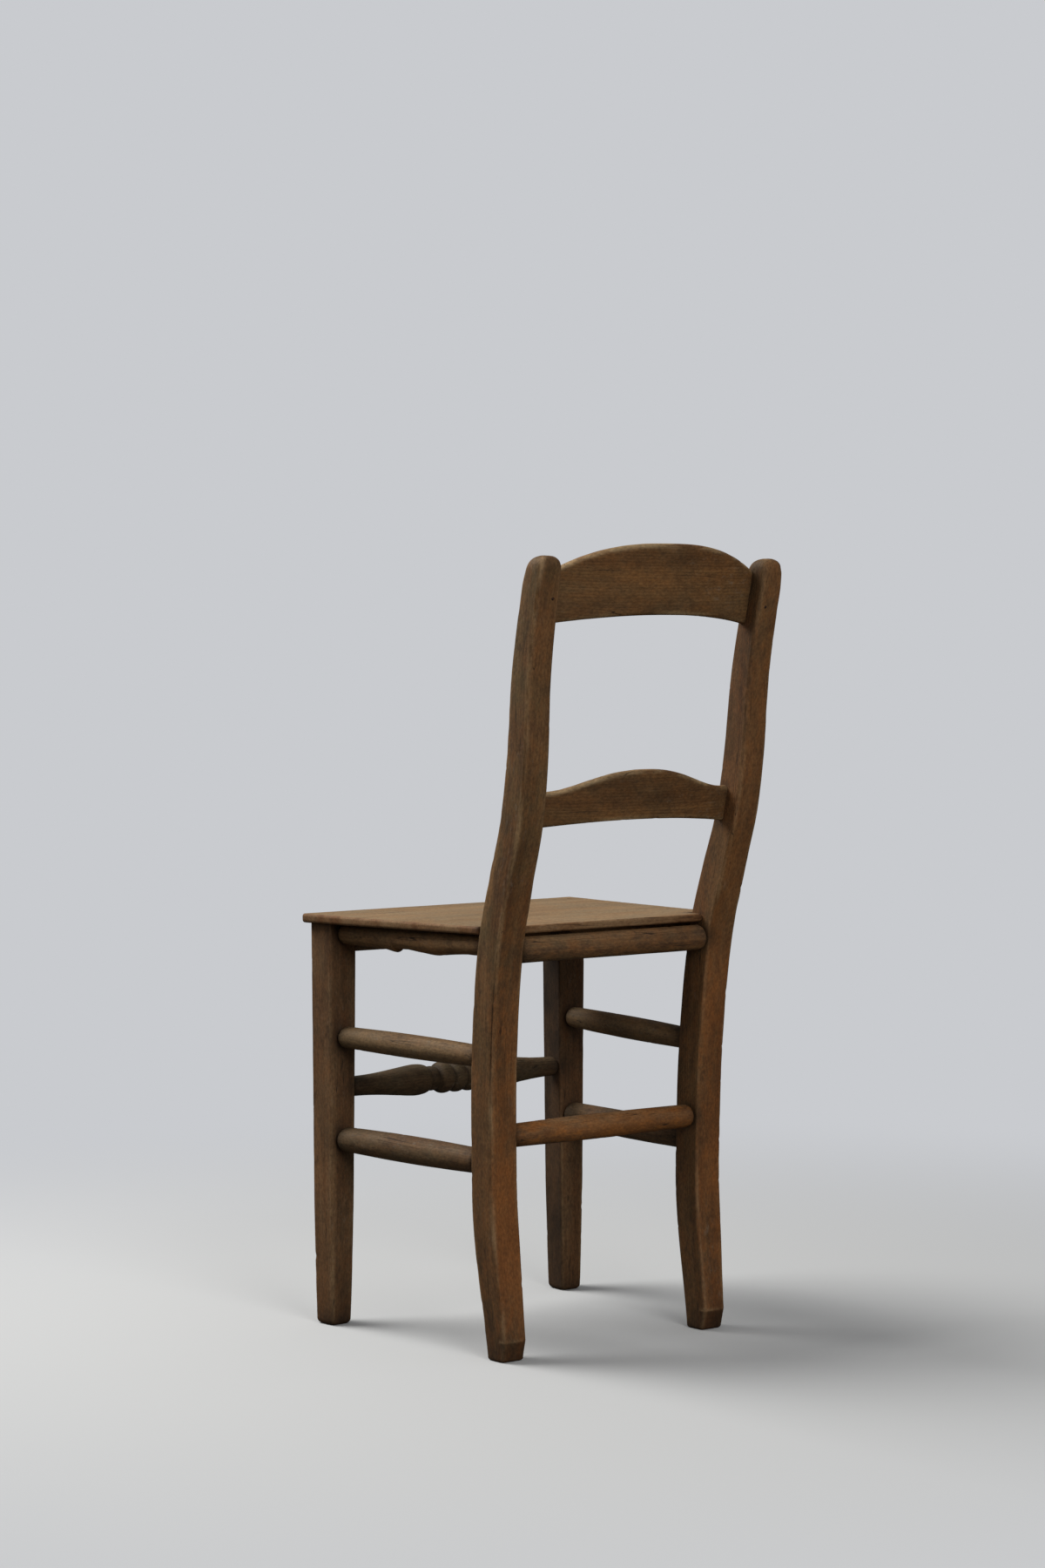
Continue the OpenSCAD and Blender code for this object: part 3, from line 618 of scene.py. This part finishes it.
crest_shape = (post_top - CREST_LOW, CREST_END_H, CREST_ARCH, crest_top, CREST_SLOPE, 3, CREST_DROP)
mid_shape = (SEAT_H + MID_LOW, MID_END_H, MID_ARCH, mid_top, 0.0, 5, 0.0)
for name, node, (z0, end_h, arch, top, slope, seed, drop) in (
    ("crest", "crest_rail", crest_shape),
    ("middle_slat", "mid_rail", mid_shape),
):
    rings, log, edge = slat_rings(z0, end_h, arch, top, slope, seed, drop)
    gap = post_x(z0 + end_h / 2) - POST_TIP_SIZE / 2 - abs(rings[:, :, 0])

    # Dirt and painted contact shade beside the posts, painted shade along the lower edge and as a
    # film over the middle rail
    dirt_and_shade = 0.8 * np.exp(-np.clip(gap, 0, None) / 0.006)
    dirt_and_shade = np.maximum(dirt_and_shade, 0.3 * under(rings[:, :, 2], z0 + 0.016, 0.012))
    dirt_and_shade = np.maximum(dirt_and_shade, 0.19 * (node == "mid_rail"))
    # Painted highlight along the upward-facing top edge
    edge = np.maximum(edge, 1.3 * np.clip(ring_normals(rings)[:, :, 2] - 0.25, 0, 1))
    rings = hand_worn(rings, log, edge, seed, chip=0.0005, dents=60)
    piece = wooden_piece(name, rings, log, edge, dirt_and_shade, 0.35)
    stand_for(piece, slat_beech, "aged_wood", node)

# ---- Front legs ----
# Square legs of beech, tapered to the foot mostly on their inner sides and turned a little in
# plan to face the side rails. The seat board is nailed down on their tops.

LEG_W = 0.039
LEG_D = 0.0355
LEG_FOOT_W = 0.028
LEG_FOOT_D = 0.0305
INNER_TAPER = 0.62
FRONT_HALF_SPAN = 0.1685
SEAT_DEPTH = 0.285
BOARD_FRONT = 0.006
BOARD_T = 0.009
BOARD_TONGUE = 0.007
LEG_TAPER_H = 0.478
LEG_TOE_H = 0.006
LEG_TOE_IN = 0.0045
LEG_ARRIS_R = 0.0026
LEG_INNER = 0.017
LEG_CROWN = 0.0004
BOARD_GAP = 0.0002

board_low, board_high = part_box("seat_board")
leg_y = post_y0 - SEAT_DEPTH
board_y = leg_y - LEG_D / 2 - BOARD_FRONT
board_len = SEAT_DEPTH + LEG_D / 2 + BOARD_FRONT + BOARD_TONGUE
board_front_z = board_low.z
board_rise = board_high.z - board_low.z - BOARD_T
board_slope = board_rise / board_len
side_turn = np.arctan2(FRONT_HALF_SPAN - REAR_HALF_SPAN, SEAT_DEPTH)


def leg_top(y):
    """Height of the board's underside over a place."""
    return board_front_z + (y - board_y) * board_slope


def leg_loss(z):
    """Share of its taper that a leg has lost at a height: 0 at the top and 1 at the floor."""
    bend = 0.28 * LEG_TAPER_H
    above = 0.5 * (LEG_TAPER_H - z) / (LEG_TAPER_H - bend)
    return np.where(z > bend, above, blend(1, 0.5, z / bend))


def leg_rings(side):
    top = leg_top(leg_y) - BOARD_GAP
    z = np.concatenate([quarter_steps(LEG_TOE_H, 8), np.linspace(LEG_TOE_H, top, 205)[1:]])
    loss = leg_loss(z)
    toe = LEG_TOE_IN * quarter_round(z, LEG_TOE_H)
    narrow = (LEG_W - LEG_FOOT_W) * loss
    half_w = (LEG_W - narrow) / 2 - toe
    half_d = (LEG_D - (LEG_D - LEG_FOOT_D) * loss) / 2 - toe
    radius = np.minimum(LEG_ARRIS_R + 0.0016 * np.exp(-z / 0.02), 0.9 * half_w)
    points = FLAT_POINTS, FLAT_POINTS, CORNER_POINTS
    u, v, edge = square_rings(half_w, half_d, radius, *points, LEG_CROWN)
    u = side * (u + (INNER_TAPER - 0.5) * narrow[:, None])
    turn = side * side_turn
    x = side * FRONT_HALF_SPAN + u * np.cos(turn) - v * np.sin(turn)
    y = leg_y + u * np.sin(turn) + v * np.cos(turn)
    heights = np.broadcast_to(z[:, None], x.shape)
    tilt = (y - leg_y) * board_slope * (z / top)[:, None] ** 8
    rings = np.stack([x, y, heights + tilt], -1)
    log = np.stack([u + 0.09 * side, v + 0.04, heights], -1)
    if side < 0:
        rings, log, edge = rings[:, ::-1], log[:, ::-1], edge[:, ::-1]
    return rings, log, edge


leg_beech = old_beech("leg_beech", "a07e58", "785639", "523923", "8a582e")

for side, label in SIDES:
    rings, log, edge = leg_rings(side)
    z = rings[:, :, 2]
    joints = []
    for node in ("seat_rail", "side_stretcher_upper", "side_stretcher_lower"):
        rod_z = centre_of(f"{node}_{label}")[2]
        joints.append(((side * FRONT_HALF_SPAN, leg_y + LEG_D / 2, rod_z), ROD_MARK_R))
    for node in ("seat_rail_front", "front_stretcher"):
        _, rod_y, rod_z = centre_of(node)
        joints.append(((side * (FRONT_HALF_SPAN - LEG_INNER), rod_y, rod_z), ROD_MARK_R))

    # Dirt and painted contact shade at the joints, dirt at the foot, painted shade under the board,
    # and painted shade all over the inner faces
    dirt_and_shade = 0.9 * joint_dirt_and_shade(rings, joints, 0.009)
    dirt_and_shade = np.maximum(dirt_and_shade, floor_dirt(z, 0.006))
    dirt_and_shade = np.maximum(dirt_and_shade, 0.6 * np.exp((z - leg_top(leg_y)) / 0.008))
    inward = np.clip(-side * ring_normals(rings)[:, :, 0], 0, 1)
    dirt_and_shade = np.maximum(dirt_and_shade, 1.08 * inward)
    warmth = 0.30 + 0.35 * np.exp(-z / 0.10)
    # Pale wear and painted highlight are weaker on the inner arrises and higher up
    edge = edge * (1 - 0.8 * inward) * blend(1.0, 0.5, above(z, 0.12, 0.2))
    rings = hand_worn(rings, log, edge, 31 + side, dents=70)
    rings[:, :, 2] = np.maximum(rings[:, :, 2], FLOOR_GAP)
    piece = wooden_piece(f"leg_{label}", rings, log, edge, dirt_and_shade, warmth)
    stand_for(piece, leg_beech, "aged_wood", f"front_leg_{label}")

# ---- Front rods ----
# A plain round rail under the seat's front edge, and the one turned piece: a stretcher with
# three beads, a ring on each side of them and two long tapers, cut on a lathe.

FRONT_RAIL_R = 0.0146
BEAD_R = 0.0185
BEAD_W = 0.0185
RING_W = 0.011
GROOVE_W = 0.003
GROOVE_R = BEAD_R * 0.7
RING_R = BEAD_R * 0.77
TAPER_R = BEAD_R * 0.98
TAPER_RISE = 0.018
TURNED_TIP_R = 0.0115
TURNED_HALF = 0.046


def leg_inner_x(z):
    """Where a leg's inner face is, on its middle line."""
    lost = INNER_TAPER * (LEG_W - LEG_FOOT_W) * leg_loss(z)
    return FRONT_HALF_SPAN - (LEG_W / 2 - lost) / cos(side_turn)


def turned_radius(at, half):
    """Radius of the turned stretcher at a distance from its middle."""
    at = abs(at)
    z1, z2 = 1.5 * BEAD_W, 1.5 * BEAD_W + GROOVE_W
    z3 = z2 + RING_W
    z4 = z3 + TAPER_RISE

    def bead(centre, width, top):
        fullness = np.sqrt(np.clip(1 - (2 * (at - centre) / width) ** 2, 0, 1))
        return fullness * (top - GROOVE_R) + GROOVE_R

    beads = np.maximum(bead(0, BEAD_W, BEAD_R), bead(BEAD_W, BEAD_W, BEAD_R))
    ring = bead(z2 + RING_W / 2, RING_W, RING_R)
    shoulder = np.clip((z4 - at) / TAPER_RISE, 0, 1)
    swell = blend(GROOVE_R, TAPER_R, np.sqrt(1 - shoulder ** 2.4))
    along = np.clip((at - z4) / (half - DOME_LEN - z4), 0, 1)
    fall = blend(TAPER_R, TURNED_TIP_R, np.sin(pi / 2 * along) ** 1.3)
    radius = np.select([at < z1, at < z2, at < z3, at < z4], [beads, GROOVE_R, ring, swell], fall)
    dome = np.clip((at - half + DOME_LEN) / DOME_LEN, 0, 1)
    radius = np.where(dome > 0, blend(TENON_R, TURNED_TIP_R, np.sqrt(1 - dome * dome)), radius)
    return np.where(at > half, TENON_R, radius)


front_rod_beech = old_beech("front_rod_beech", "755d3f", "574029", "39291a", "6a4828")
rail_beech = old_beech("rail_beech", "a47e52", "7d5a37", "533922", "8f5c32")

_, rod_y, rod_z = centre_of("seat_rail_front")
half = float(leg_inner_x(rod_z)) - (leg_y - rod_y + TENON_R) * tan(side_turn) - SEAM
ends = (-half, rod_y, rod_z), (half, rod_y, rod_z)
rod_piece("front_rail", *ends, FRONT_RAIL_R, 8, 0.2, "seat_rail_front", rail_beech,
          "dark_wood", end_share=0.98)

_, rod_y, rod_z = centre_of("front_stretcher")
half = float(leg_inner_x(rod_z)) - (rod_y - leg_y + TENON_R) * tan(side_turn) - SEAM
at = np.concatenate([np.arange(-half, half, 0.0008), [half]])
at = np.concatenate([[-half - TENON_LEN], at, [half + TENON_LEN]])
radius = turned_radius(at, half)
axis = (0, rod_y, rod_z), (1, rod_y, rod_z)
rings, log, edge = rod_rings(*axis, at, radius, 4, count=64, flats=0.004)
# Painted shade in the grooves between the beads, and dirt and painted contact shade at the ends
grooves = np.clip((BEAD_R * 0.9 - radius) / (BEAD_R * 0.25), 0, 1) * (abs(at) < TURNED_HALF)
dirt_and_shade = np.maximum(0.9 * rod_end_dirt_and_shade(at + half, 2 * half, rings.shape[1]), grooves[:, None])
rings = hand_worn(rings, log, 0 * edge, 41, wave=0.0002, dents=50)
piece = wooden_piece("turned_stretcher", rings, log, edge, dirt_and_shade, 0.05)
stand_for(piece, front_rod_beech, "aged_wood", "front_stretcher")

# ---- Side rods ----
# On each side a round seat rail and two round stretchers join a leg to its post. They were
# bored by eye, so the upper stretchers slope unlike each other. The left rail is the thinner one
# and rough underneath, where a splinter has torn out behind a third of its length.

LEFT_RAIL_R = 0.0125
RIGHT_RAIL_R = 0.0146
UPPER_ROD_R = 0.0134
LOWER_ROD_R = 0.0155
UPPER_FRONT_RISE = 0.0018
UPPER_RIGHT_DROP = 0.003
TEAR_AT = 0.395
SPLINTER_HANG = 0.0026
TORN_DEPTH = 0.0014
SWELLING_HANG = 0.0024
SCOOP_DEPTH = 0.0006


def side_rod_ends(side, front_z, rear_z):
    """A side rod's shoulders, on the line from the leg's axis to the post's."""
    p = Vector((side * FRONT_HALF_SPAN, leg_y, front_z))
    q = Vector((side * post_x(rear_z), float(post_y(np.array(rear_z))), rear_z))
    axis = (q - p).normalized()
    leg_half = (LEG_D - (LEG_D - LEG_FOOT_D) * float(leg_loss(front_z))) / 2
    post_half = float(post_section(np.array(rear_z))[1]) / 2
    step = 0.002
    lean = float(post_y(np.array(rear_z + step)) - post_y(np.array(rear_z - step))) / (2 * step)
    return p + axis * (leg_half + SEAM), q - axis * (post_half + TENON_R * abs(lean) + 2 * SEAM)


def torn_under(share):
    """How far the left rail's underside hangs down at a share of its length: a lifted splinter
    that ends in a torn step, with hollows and a swelling behind it."""
    splinter = np.where(share < TEAR_AT, SPLINTER_HANG * above(share, 0.28, 0.115) ** 1.5, 0)
    torn = np.where(share >= TEAR_AT, -TORN_DEPTH * under(share, 0.56, 0.10), 0)
    swelling = SWELLING_HANG * np.exp(-(((share - 0.665) / 0.085) ** 2))
    scoop = -SCOOP_DEPTH * np.exp(-(((share - 0.86) / 0.06) ** 2))
    return splinter + torn + swelling + scoop


side_rod_beech = old_beech("side_rod_beech", "92714d", "6d5034", "4a3421", "80542c")
upper_rod_beech = old_beech("upper_rod_beech", "b08e66", "8a6b47", "604730", "96693c")

SIDE_RODS = (
    ("upper_side_rod", "side_stretcher_upper", UPPER_ROD_R, upper_rod_beech),
    ("lower_side_rod", "side_stretcher_lower", LOWER_ROD_R, side_rod_beech),
)
for side, label in SIDES:
    for name, node, swell_r, beech in SIDE_RODS:
        rod_z = centre_of(f"{node}_{label}")[2]
        upper = "upper" in node
        front_rise = UPPER_FRONT_RISE * upper
        rear_drop = UPPER_RIGHT_DROP if upper and side < 0 else 0
        start, stop = side_rod_ends(side, rod_z + front_rise, rod_z - rear_drop)
        rod_piece(f"{name}_{label}", start, stop, swell_r, 50 + len(name) + side, 0.12,
                  f"{node}_{label}", beech, rubbed_and_highlit=0.05)

    rail_r = LEFT_RAIL_R if side > 0 else RIGHT_RAIL_R
    front_z = leg_top(leg_y) - rail_r - SEAM
    rear_z = leg_top(post_y0) - rail_r - SEAM
    start, stop = side_rod_ends(side, front_z, rear_z)
    length = (stop - start).length
    at, radius = rod_profile(length, rail_r, 0.0012, end_share=0.9 if side > 0 else 1.0)
    rings, log, edge = rod_rings(start, stop, at, radius, 60 + side)
    if side > 0:
        below = np.clip(-ring_normals(rings)[:, :, 2], 0, 1) ** 1.5
        hang = torn_under(at / length)[:, None] * below
        rings = rings - np.array((0, 0, 1)) * hang[:, :, None]
    # Dirt and painted contact shade at the ends, and painted shadow of the board along the rail's top
    dirt_and_shade = 0.9 * rod_end_dirt_and_shade(at, length, rings.shape[1])
    dirt_and_shade = np.maximum(dirt_and_shade, 0.55 * np.clip(ring_normals(rings)[:, :, 2], 0, 1) ** 2)
    rings = hand_worn(rings, log, 0 * edge, 70 + side, wave=0.0004, tool=0.00025, dents=60)
    piece = wooden_piece(f"side_rail_{label}", rings, log, edge, dirt_and_shade, 0.2)
    stand_for(piece, rail_beech, "dark_wood", f"seat_rail_{label}")

# ---- Seat board ----
# A thin board, wider in front and notched round the posts, nailed on the legs and side rails.
# It is a little thicker in front. Its edges are rounded and brown, and sitting has rubbed its
# top paler than the rest.

BOARD_SIDE = 0.0105
BOARD_CORNER = 0.007
BOARD_EDGE_R = 0.0030
FRONT_LIFT = 0.0013
NOTCH_GAP = 0.0012
NOTCH_STEP = 0.0004
NOTCH_MARK_R = 0.003
FRONT_INSET = 0.0004

board_half_front = FRONT_HALF_SPAN + LEG_W / 2 + BOARD_SIDE
board_post_z = leg_top(post_y0)
board_half_rear = post_x(board_post_z) + POST_SIZE / 2
notch_x = post_x(board_post_z) - POST_SIZE / 2 - 2 * SEAM
notch_at = float(post_y(np.array(board_post_z))) - POST_SIZE / 2 - NOTCH_GAP - board_y


def board_half(at):
    """Half of the board's width at a distance behind its front edge."""
    sloping = blend(board_half_front, board_half_rear, np.clip(at / notch_at, 0, 1))
    lost = BOARD_CORNER - np.sqrt(np.clip(BOARD_CORNER ** 2 - (BOARD_CORNER - at) ** 2, 0, None))
    half = sloping - np.where(at < BOARD_CORNER, lost, 0)
    return np.where(at > notch_at + 1e-6, notch_x, half)


def board_lift(at):
    """How much thicker than its rear the board was left, at a distance behind its front edge."""
    return FRONT_LIFT * np.clip(1 - at / board_len, 0, 1) ** 2


def board_rings():
    lip = quarter_steps(BOARD_EDGE_R, 8)
    body = np.linspace(BOARD_EDGE_R, notch_at, 140)[1:]
    tongue = np.linspace(notch_at + NOTCH_STEP, board_len - BOARD_EDGE_R, 14)[:-1]
    at = np.concatenate([lip, body, tongue, board_len - lip[::-1]])
    from_end = np.minimum(at, board_len - at)
    half_t = BOARD_T / 2 - quarter_round(from_end, BOARD_EDGE_R) * 0.9 * BOARD_EDGE_R
    radius = np.minimum(BOARD_EDGE_R, 0.92 * half_t)
    u, v, edge = square_rings(board_half(at), half_t, radius, 150, 1, 7)
    v = (v + BOARD_T / 2) * (1 + board_lift(at) / BOARD_T)[:, None]
    y = board_y + np.maximum(at, FRONT_INSET)[:, None] + 0 * u
    rings = np.stack([u, y, board_front_z + (y - board_y) * board_slope + v], -1)
    ends = np.exp(-((from_end / 0.003) ** 2))[:, None]
    log = np.stack([at[:, None] + 0 * u, v + 0.05, u], -1)
    return rings[:, ::-1], log[:, ::-1], np.maximum(edge, ends)[:, ::-1]


seat_beech = old_beech("seat_beech", "b9976f", "a5845c", "8a6a47", "6d3c12", "c4a77e", "918469", 0.12,
                       cloudy=0.05)

rings, log, edge = board_rings()
# Dirt and painted contact shade round the notches beside the posts
joints = []
for side in (1, -1):
    for share in (0.0, 0.5, 1.0):
        place = (side * blend(notch_x, board_half_rear, share), board_y + notch_at, board_high.z)
        joints.append((place, NOTCH_MARK_R))
    joints.append(((side * notch_x, board_y + board_len - 0.004, board_high.z), NOTCH_MARK_R))
dirt_and_shade = 0.75 * joint_dirt_and_shade(rings, joints, 0.006)
# Painted shade on the board's underside
upward = ring_normals(rings)[:, :, 2]
dirt_and_shade = np.maximum(dirt_and_shade, 0.45 * np.clip(-upward, 0, 1))
rings = hand_worn(rings, log, edge, 5, wave=0.0002, tool=0.0001, chip=0.0004, dents=90)
browned = ease(1.6 * np.maximum(edge, 1 - abs(upward)) - 0.3)
warmth = blend(0.1, 1.0, browned)
dirt_and_shade = np.maximum(dirt_and_shade, 0.05 * browned)
piece = wooden_piece("board", rings, log, 0 * edge, dirt_and_shade, warmth)
stand_for(piece, seat_beech, "seat_wood", "seat_board")

# ---- Nails ----
# Two iron nails pin the crest rail through the posts' rear faces, not quite level with each
# other, and four hold the board down. Their heads are low and uneven, and brown with rust.

PIN_R = 0.0014
PIN_HEAD_R = 0.0019
PIN_DOME = 0.0008
PIN_PROUD = 0.0004
PIN_BOX_R = 0.0015
NAIL_R = 0.0012
NAIL_HEAD_R = 0.003
NAIL_DOME = 0.0005
NAIL_PROUD = 0.0001
NAIL_LEN = 0.027
HEAD_T = 0.0012
HEAD_EDGE_T = 0.0010
POINT_LEN = 0.003
POINT_R = 0.0003


def rusty_iron():
    material = bpy.data.materials.new("rusty_iron")
    material.use_nodes = True
    tree = material.node_tree
    surface = tree.nodes["Principled BSDF"]
    place = tree.nodes.new("ShaderNodeTexCoord")
    crust = tree.nodes.new("ShaderNodeTexNoise")
    crust.inputs["Scale"].default_value = 900
    crust.inputs["Detail"].default_value = 4
    tree.links.new(place.outputs["Object"], crust.inputs["Vector"])
    shades = tree.nodes.new("ShaderNodeValToRGB")
    shades.color_ramp.elements[0].position = 0.35
    shades.color_ramp.elements[0].color = tint("1e1714")
    shades.color_ramp.elements[1].position = 0.68
    shades.color_ramp.elements[1].color = tint("5a3822")
    tree.links.new(crust.outputs[0], shades.inputs[0])
    tree.links.new(shades.outputs[0], surface.inputs["Base Color"])
    bump = tree.nodes.new("ShaderNodeBump")
    bump.inputs["Strength"].default_value = 0.5
    bump.inputs["Distance"].default_value = 0.0003
    tree.links.new(crust.outputs[0], bump.inputs["Height"])
    tree.links.new(bump.outputs[0], surface.inputs["Normal"])
    surface.inputs["Roughness"].default_value = 0.8
    surface.inputs["Metallic"].default_value = 0.35
    return material


def nail_rings(tip, head, shank_r, head_r, dome, seed):
    """A round nail from its tip to the top of its low, hammered head."""
    tip, head = Vector(tip), Vector(head)
    axis = (head - tip).normalized()
    side = axis.orthogonal().normalized()
    over = axis.cross(side)
    length = (head - tip).length
    turn = np.linspace(0, radians(84), 8)
    shank = [0, POINT_LEN, length - dome - HEAD_T, length - dome - HEAD_EDGE_T]
    at = np.concatenate([shank, length - dome * (1 - np.sin(turn))])
    radius = np.concatenate([[POINT_R, shank_r, shank_r, head_r], head_r * np.cos(turn)])
    angle = np.linspace(0, 2 * pi, 24, endpoint=False)[None, :]
    rng = np.random.default_rng(seed)
    uneven = 1 + 0.06 * np.cos(2 * angle + rng.uniform(0, 6)) + 0.04 * np.cos(5 * angle)
    span = radius[:, None] * uneven
    rings = np.array(tip) + at[:, None, None] * np.array(axis)
    rings = rings + (span * np.cos(angle))[:, :, None] * np.array(side)
    return rings + (span * np.sin(angle))[:, :, None] * np.array(over)


def nail_set(name, nails, shank_r, head_r, dome, node):
    parts = []
    for index, (tip, head) in enumerate(nails):
        rings = nail_rings(tip, head, shank_r, head_r, dome, index)
        flat = np.zeros(rings.shape[:2])
        parts.append(wooden_piece(f"{name}_{index}", rings, rings, flat, flat, flat))
    with bpy.context.temp_override(active_object=parts[0], selected_editable_objects=parts):
        bpy.ops.object.join()
    parts[0].name = name
    stand_for(parts[0], iron, "rusty_nails", node)


iron = rusty_iron()

pin_low, pin_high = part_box("crest_pins")
pin_x = pin_high.x - PIN_BOX_R
pin_z = centre_of("crest_pins")[2]
pins = []
for side, astray in ((1, 0.005), (-1, -0.003)):
    lean = float(post_y(pin_z + astray) - post_y(pin_z))
    place = Vector((side * pin_x, pin_high.y + PIN_PROUD + lean, pin_z + astray))
    pins.append((place - Vector((0, pin_high.y - pin_low.y, 0)), place))
nail_set("crest_nails", pins, PIN_R, PIN_HEAD_R, PIN_DOME, "crest_pins")

nails = []
for side in (1, -1):
    for share, shift_x, shift_y in ((0.0, 0.004, 0.005), (0.72, 0.0, 0.0)):
        x = blend(FRONT_HALF_SPAN, REAR_HALF_SPAN, share) + shift_x
        y = blend(leg_y, post_y0, share) + shift_y
        top = leg_top(y) + BOARD_T + board_lift(y - board_y) + NAIL_PROUD
        nails.append(((side * x, y, top - NAIL_LEN), (side * x, y, top)))
nail_set("board_nails", nails, NAIL_R, NAIL_HEAD_R, NAIL_DOME, "seat_nails")

# ---- Studio ----
# A pale floor that fades into a pale room, a large soft lamp over the front left of the chair,
# a weak one from behind on the left, and the camera.

ROOM = tint("c9cbcf")
AIM = (0, 0, 0.45)
CAMERA_PLACE = (2.4873, 3.0819, 0.7964)
CAMERA_BEARING = 38.469
CAMERA_DOWN = 2.578
CAMERA_ROLL = 0.064
FOCAL_LENGTH = 80.91
FLOOR_R = 9
FADE_FROM = 0.4
FADE_TO = 1.8


def floor_material():
    """Pale to the eye and dull to the light that it throws back, and room-coloured far away."""
    material = bpy.data.materials.new("floor_paint")
    material.use_nodes = True
    tree = material.node_tree
    surface = tree.nodes["Principled BSDF"]
    surface.inputs["Roughness"].default_value = 0.9
    surface.inputs["Specular IOR Level"].default_value = 0.1
    ray = tree.nodes.new("ShaderNodeLightPath")
    paint = tree.nodes.new("ShaderNodeMix")
    paint.data_type = "RGBA"
    paint.inputs[6].default_value = tint("5a5a56")
    paint.inputs[7].default_value = tint("e6e6e4")
    tree.links.new(ray.outputs["Is Camera Ray"], paint.inputs[0])
    tree.links.new(paint.outputs[2], surface.inputs["Base Color"])
    place = tree.nodes.new("ShaderNodeTexCoord")
    away = tree.nodes.new("ShaderNodeVectorMath")
    away.operation = "LENGTH"
    tree.links.new(place.outputs["Object"], away.inputs[0])
    fade = tree.nodes.new("ShaderNodeMapRange")
    fade.interpolation_type = "SMOOTHSTEP"
    fade.inputs["From Min"].default_value = FADE_FROM
    fade.inputs["From Max"].default_value = FADE_TO
    tree.links.new(away.outputs["Value"], fade.inputs["Value"])
    room = tree.nodes.new("ShaderNodeEmission")
    room.inputs["Color"].default_value = ROOM
    tree.links.new(ray.outputs["Is Camera Ray"], room.inputs["Strength"])
    mixed = tree.nodes.new("ShaderNodeMixShader")
    tree.links.new(fade.outputs[0], mixed.inputs[0])
    tree.links.new(surface.outputs[0], mixed.inputs[1])
    tree.links.new(room.outputs[0], mixed.inputs[2])
    tree.links.new(mixed.outputs[0], tree.nodes["Material Output"].inputs["Surface"])
    return material


def studio_floor():
    mesh = bpy.data.meshes.new("studio_floor")
    turn = np.linspace(0, 2 * pi, 96, endpoint=False)
    rim = [(FLOOR_R * cos(a), FLOOR_R * sin(a), 0) for a in turn]
    mesh.from_pydata(rim, [], [list(range(len(rim)))])
    mesh.materials.append(floor_material())
    floor = bpy.data.objects.new("studio_floor", mesh)
    bpy.context.scene.collection.objects.link(floor)


def soft_lamp(name, place, aim, size, power):
    lamp = bpy.data.lights.new(name, "AREA")
    lamp.shape = "DISK"
    lamp.size = size
    lamp.energy = power
    holder = bpy.data.objects.new(name, lamp)
    holder.location = place
    holder.rotation_euler = (Vector(aim) - Vector(place)).to_track_quat("-Z", "Y").to_euler()
    bpy.context.scene.collection.objects.link(holder)


def pale_room(fill):
    world = bpy.data.worlds.new("pale_room")
    world.use_nodes = True
    tree = world.node_tree
    background = tree.nodes["Background"]
    background.inputs["Color"].default_value = ROOM
    ray = tree.nodes.new("ShaderNodeLightPath")
    seen = tree.nodes.new("ShaderNodeMapRange")
    seen.inputs["To Min"].default_value = fill
    seen.inputs["To Max"].default_value = 1
    tree.links.new(ray.outputs["Is Camera Ray"], seen.inputs["Value"])
    tree.links.new(seen.outputs[0], background.inputs["Strength"])
    bpy.context.scene.world = world


studio_floor()
pale_room(fill=0.30)
soft_lamp("window", (1.15, -1.6, 2.8), AIM, size=2.0, power=76)
soft_lamp("fill", (0.7, 3.0, 1.9), AIM, size=1.8, power=30)

lens = bpy.data.cameras.new("camera")
lens.sensor_width = 36
lens.lens = FOCAL_LENGTH
camera = bpy.data.objects.new("camera", lens)
camera.location = CAMERA_PLACE
camera.rotation_euler = (
    radians(90 - CAMERA_DOWN), radians(CAMERA_ROLL), radians(180 - CAMERA_BEARING)
)
bpy.context.scene.collection.objects.link(camera)
bpy.context.scene.camera = camera
bpy.context.scene.view_settings.view_transform = "Standard"
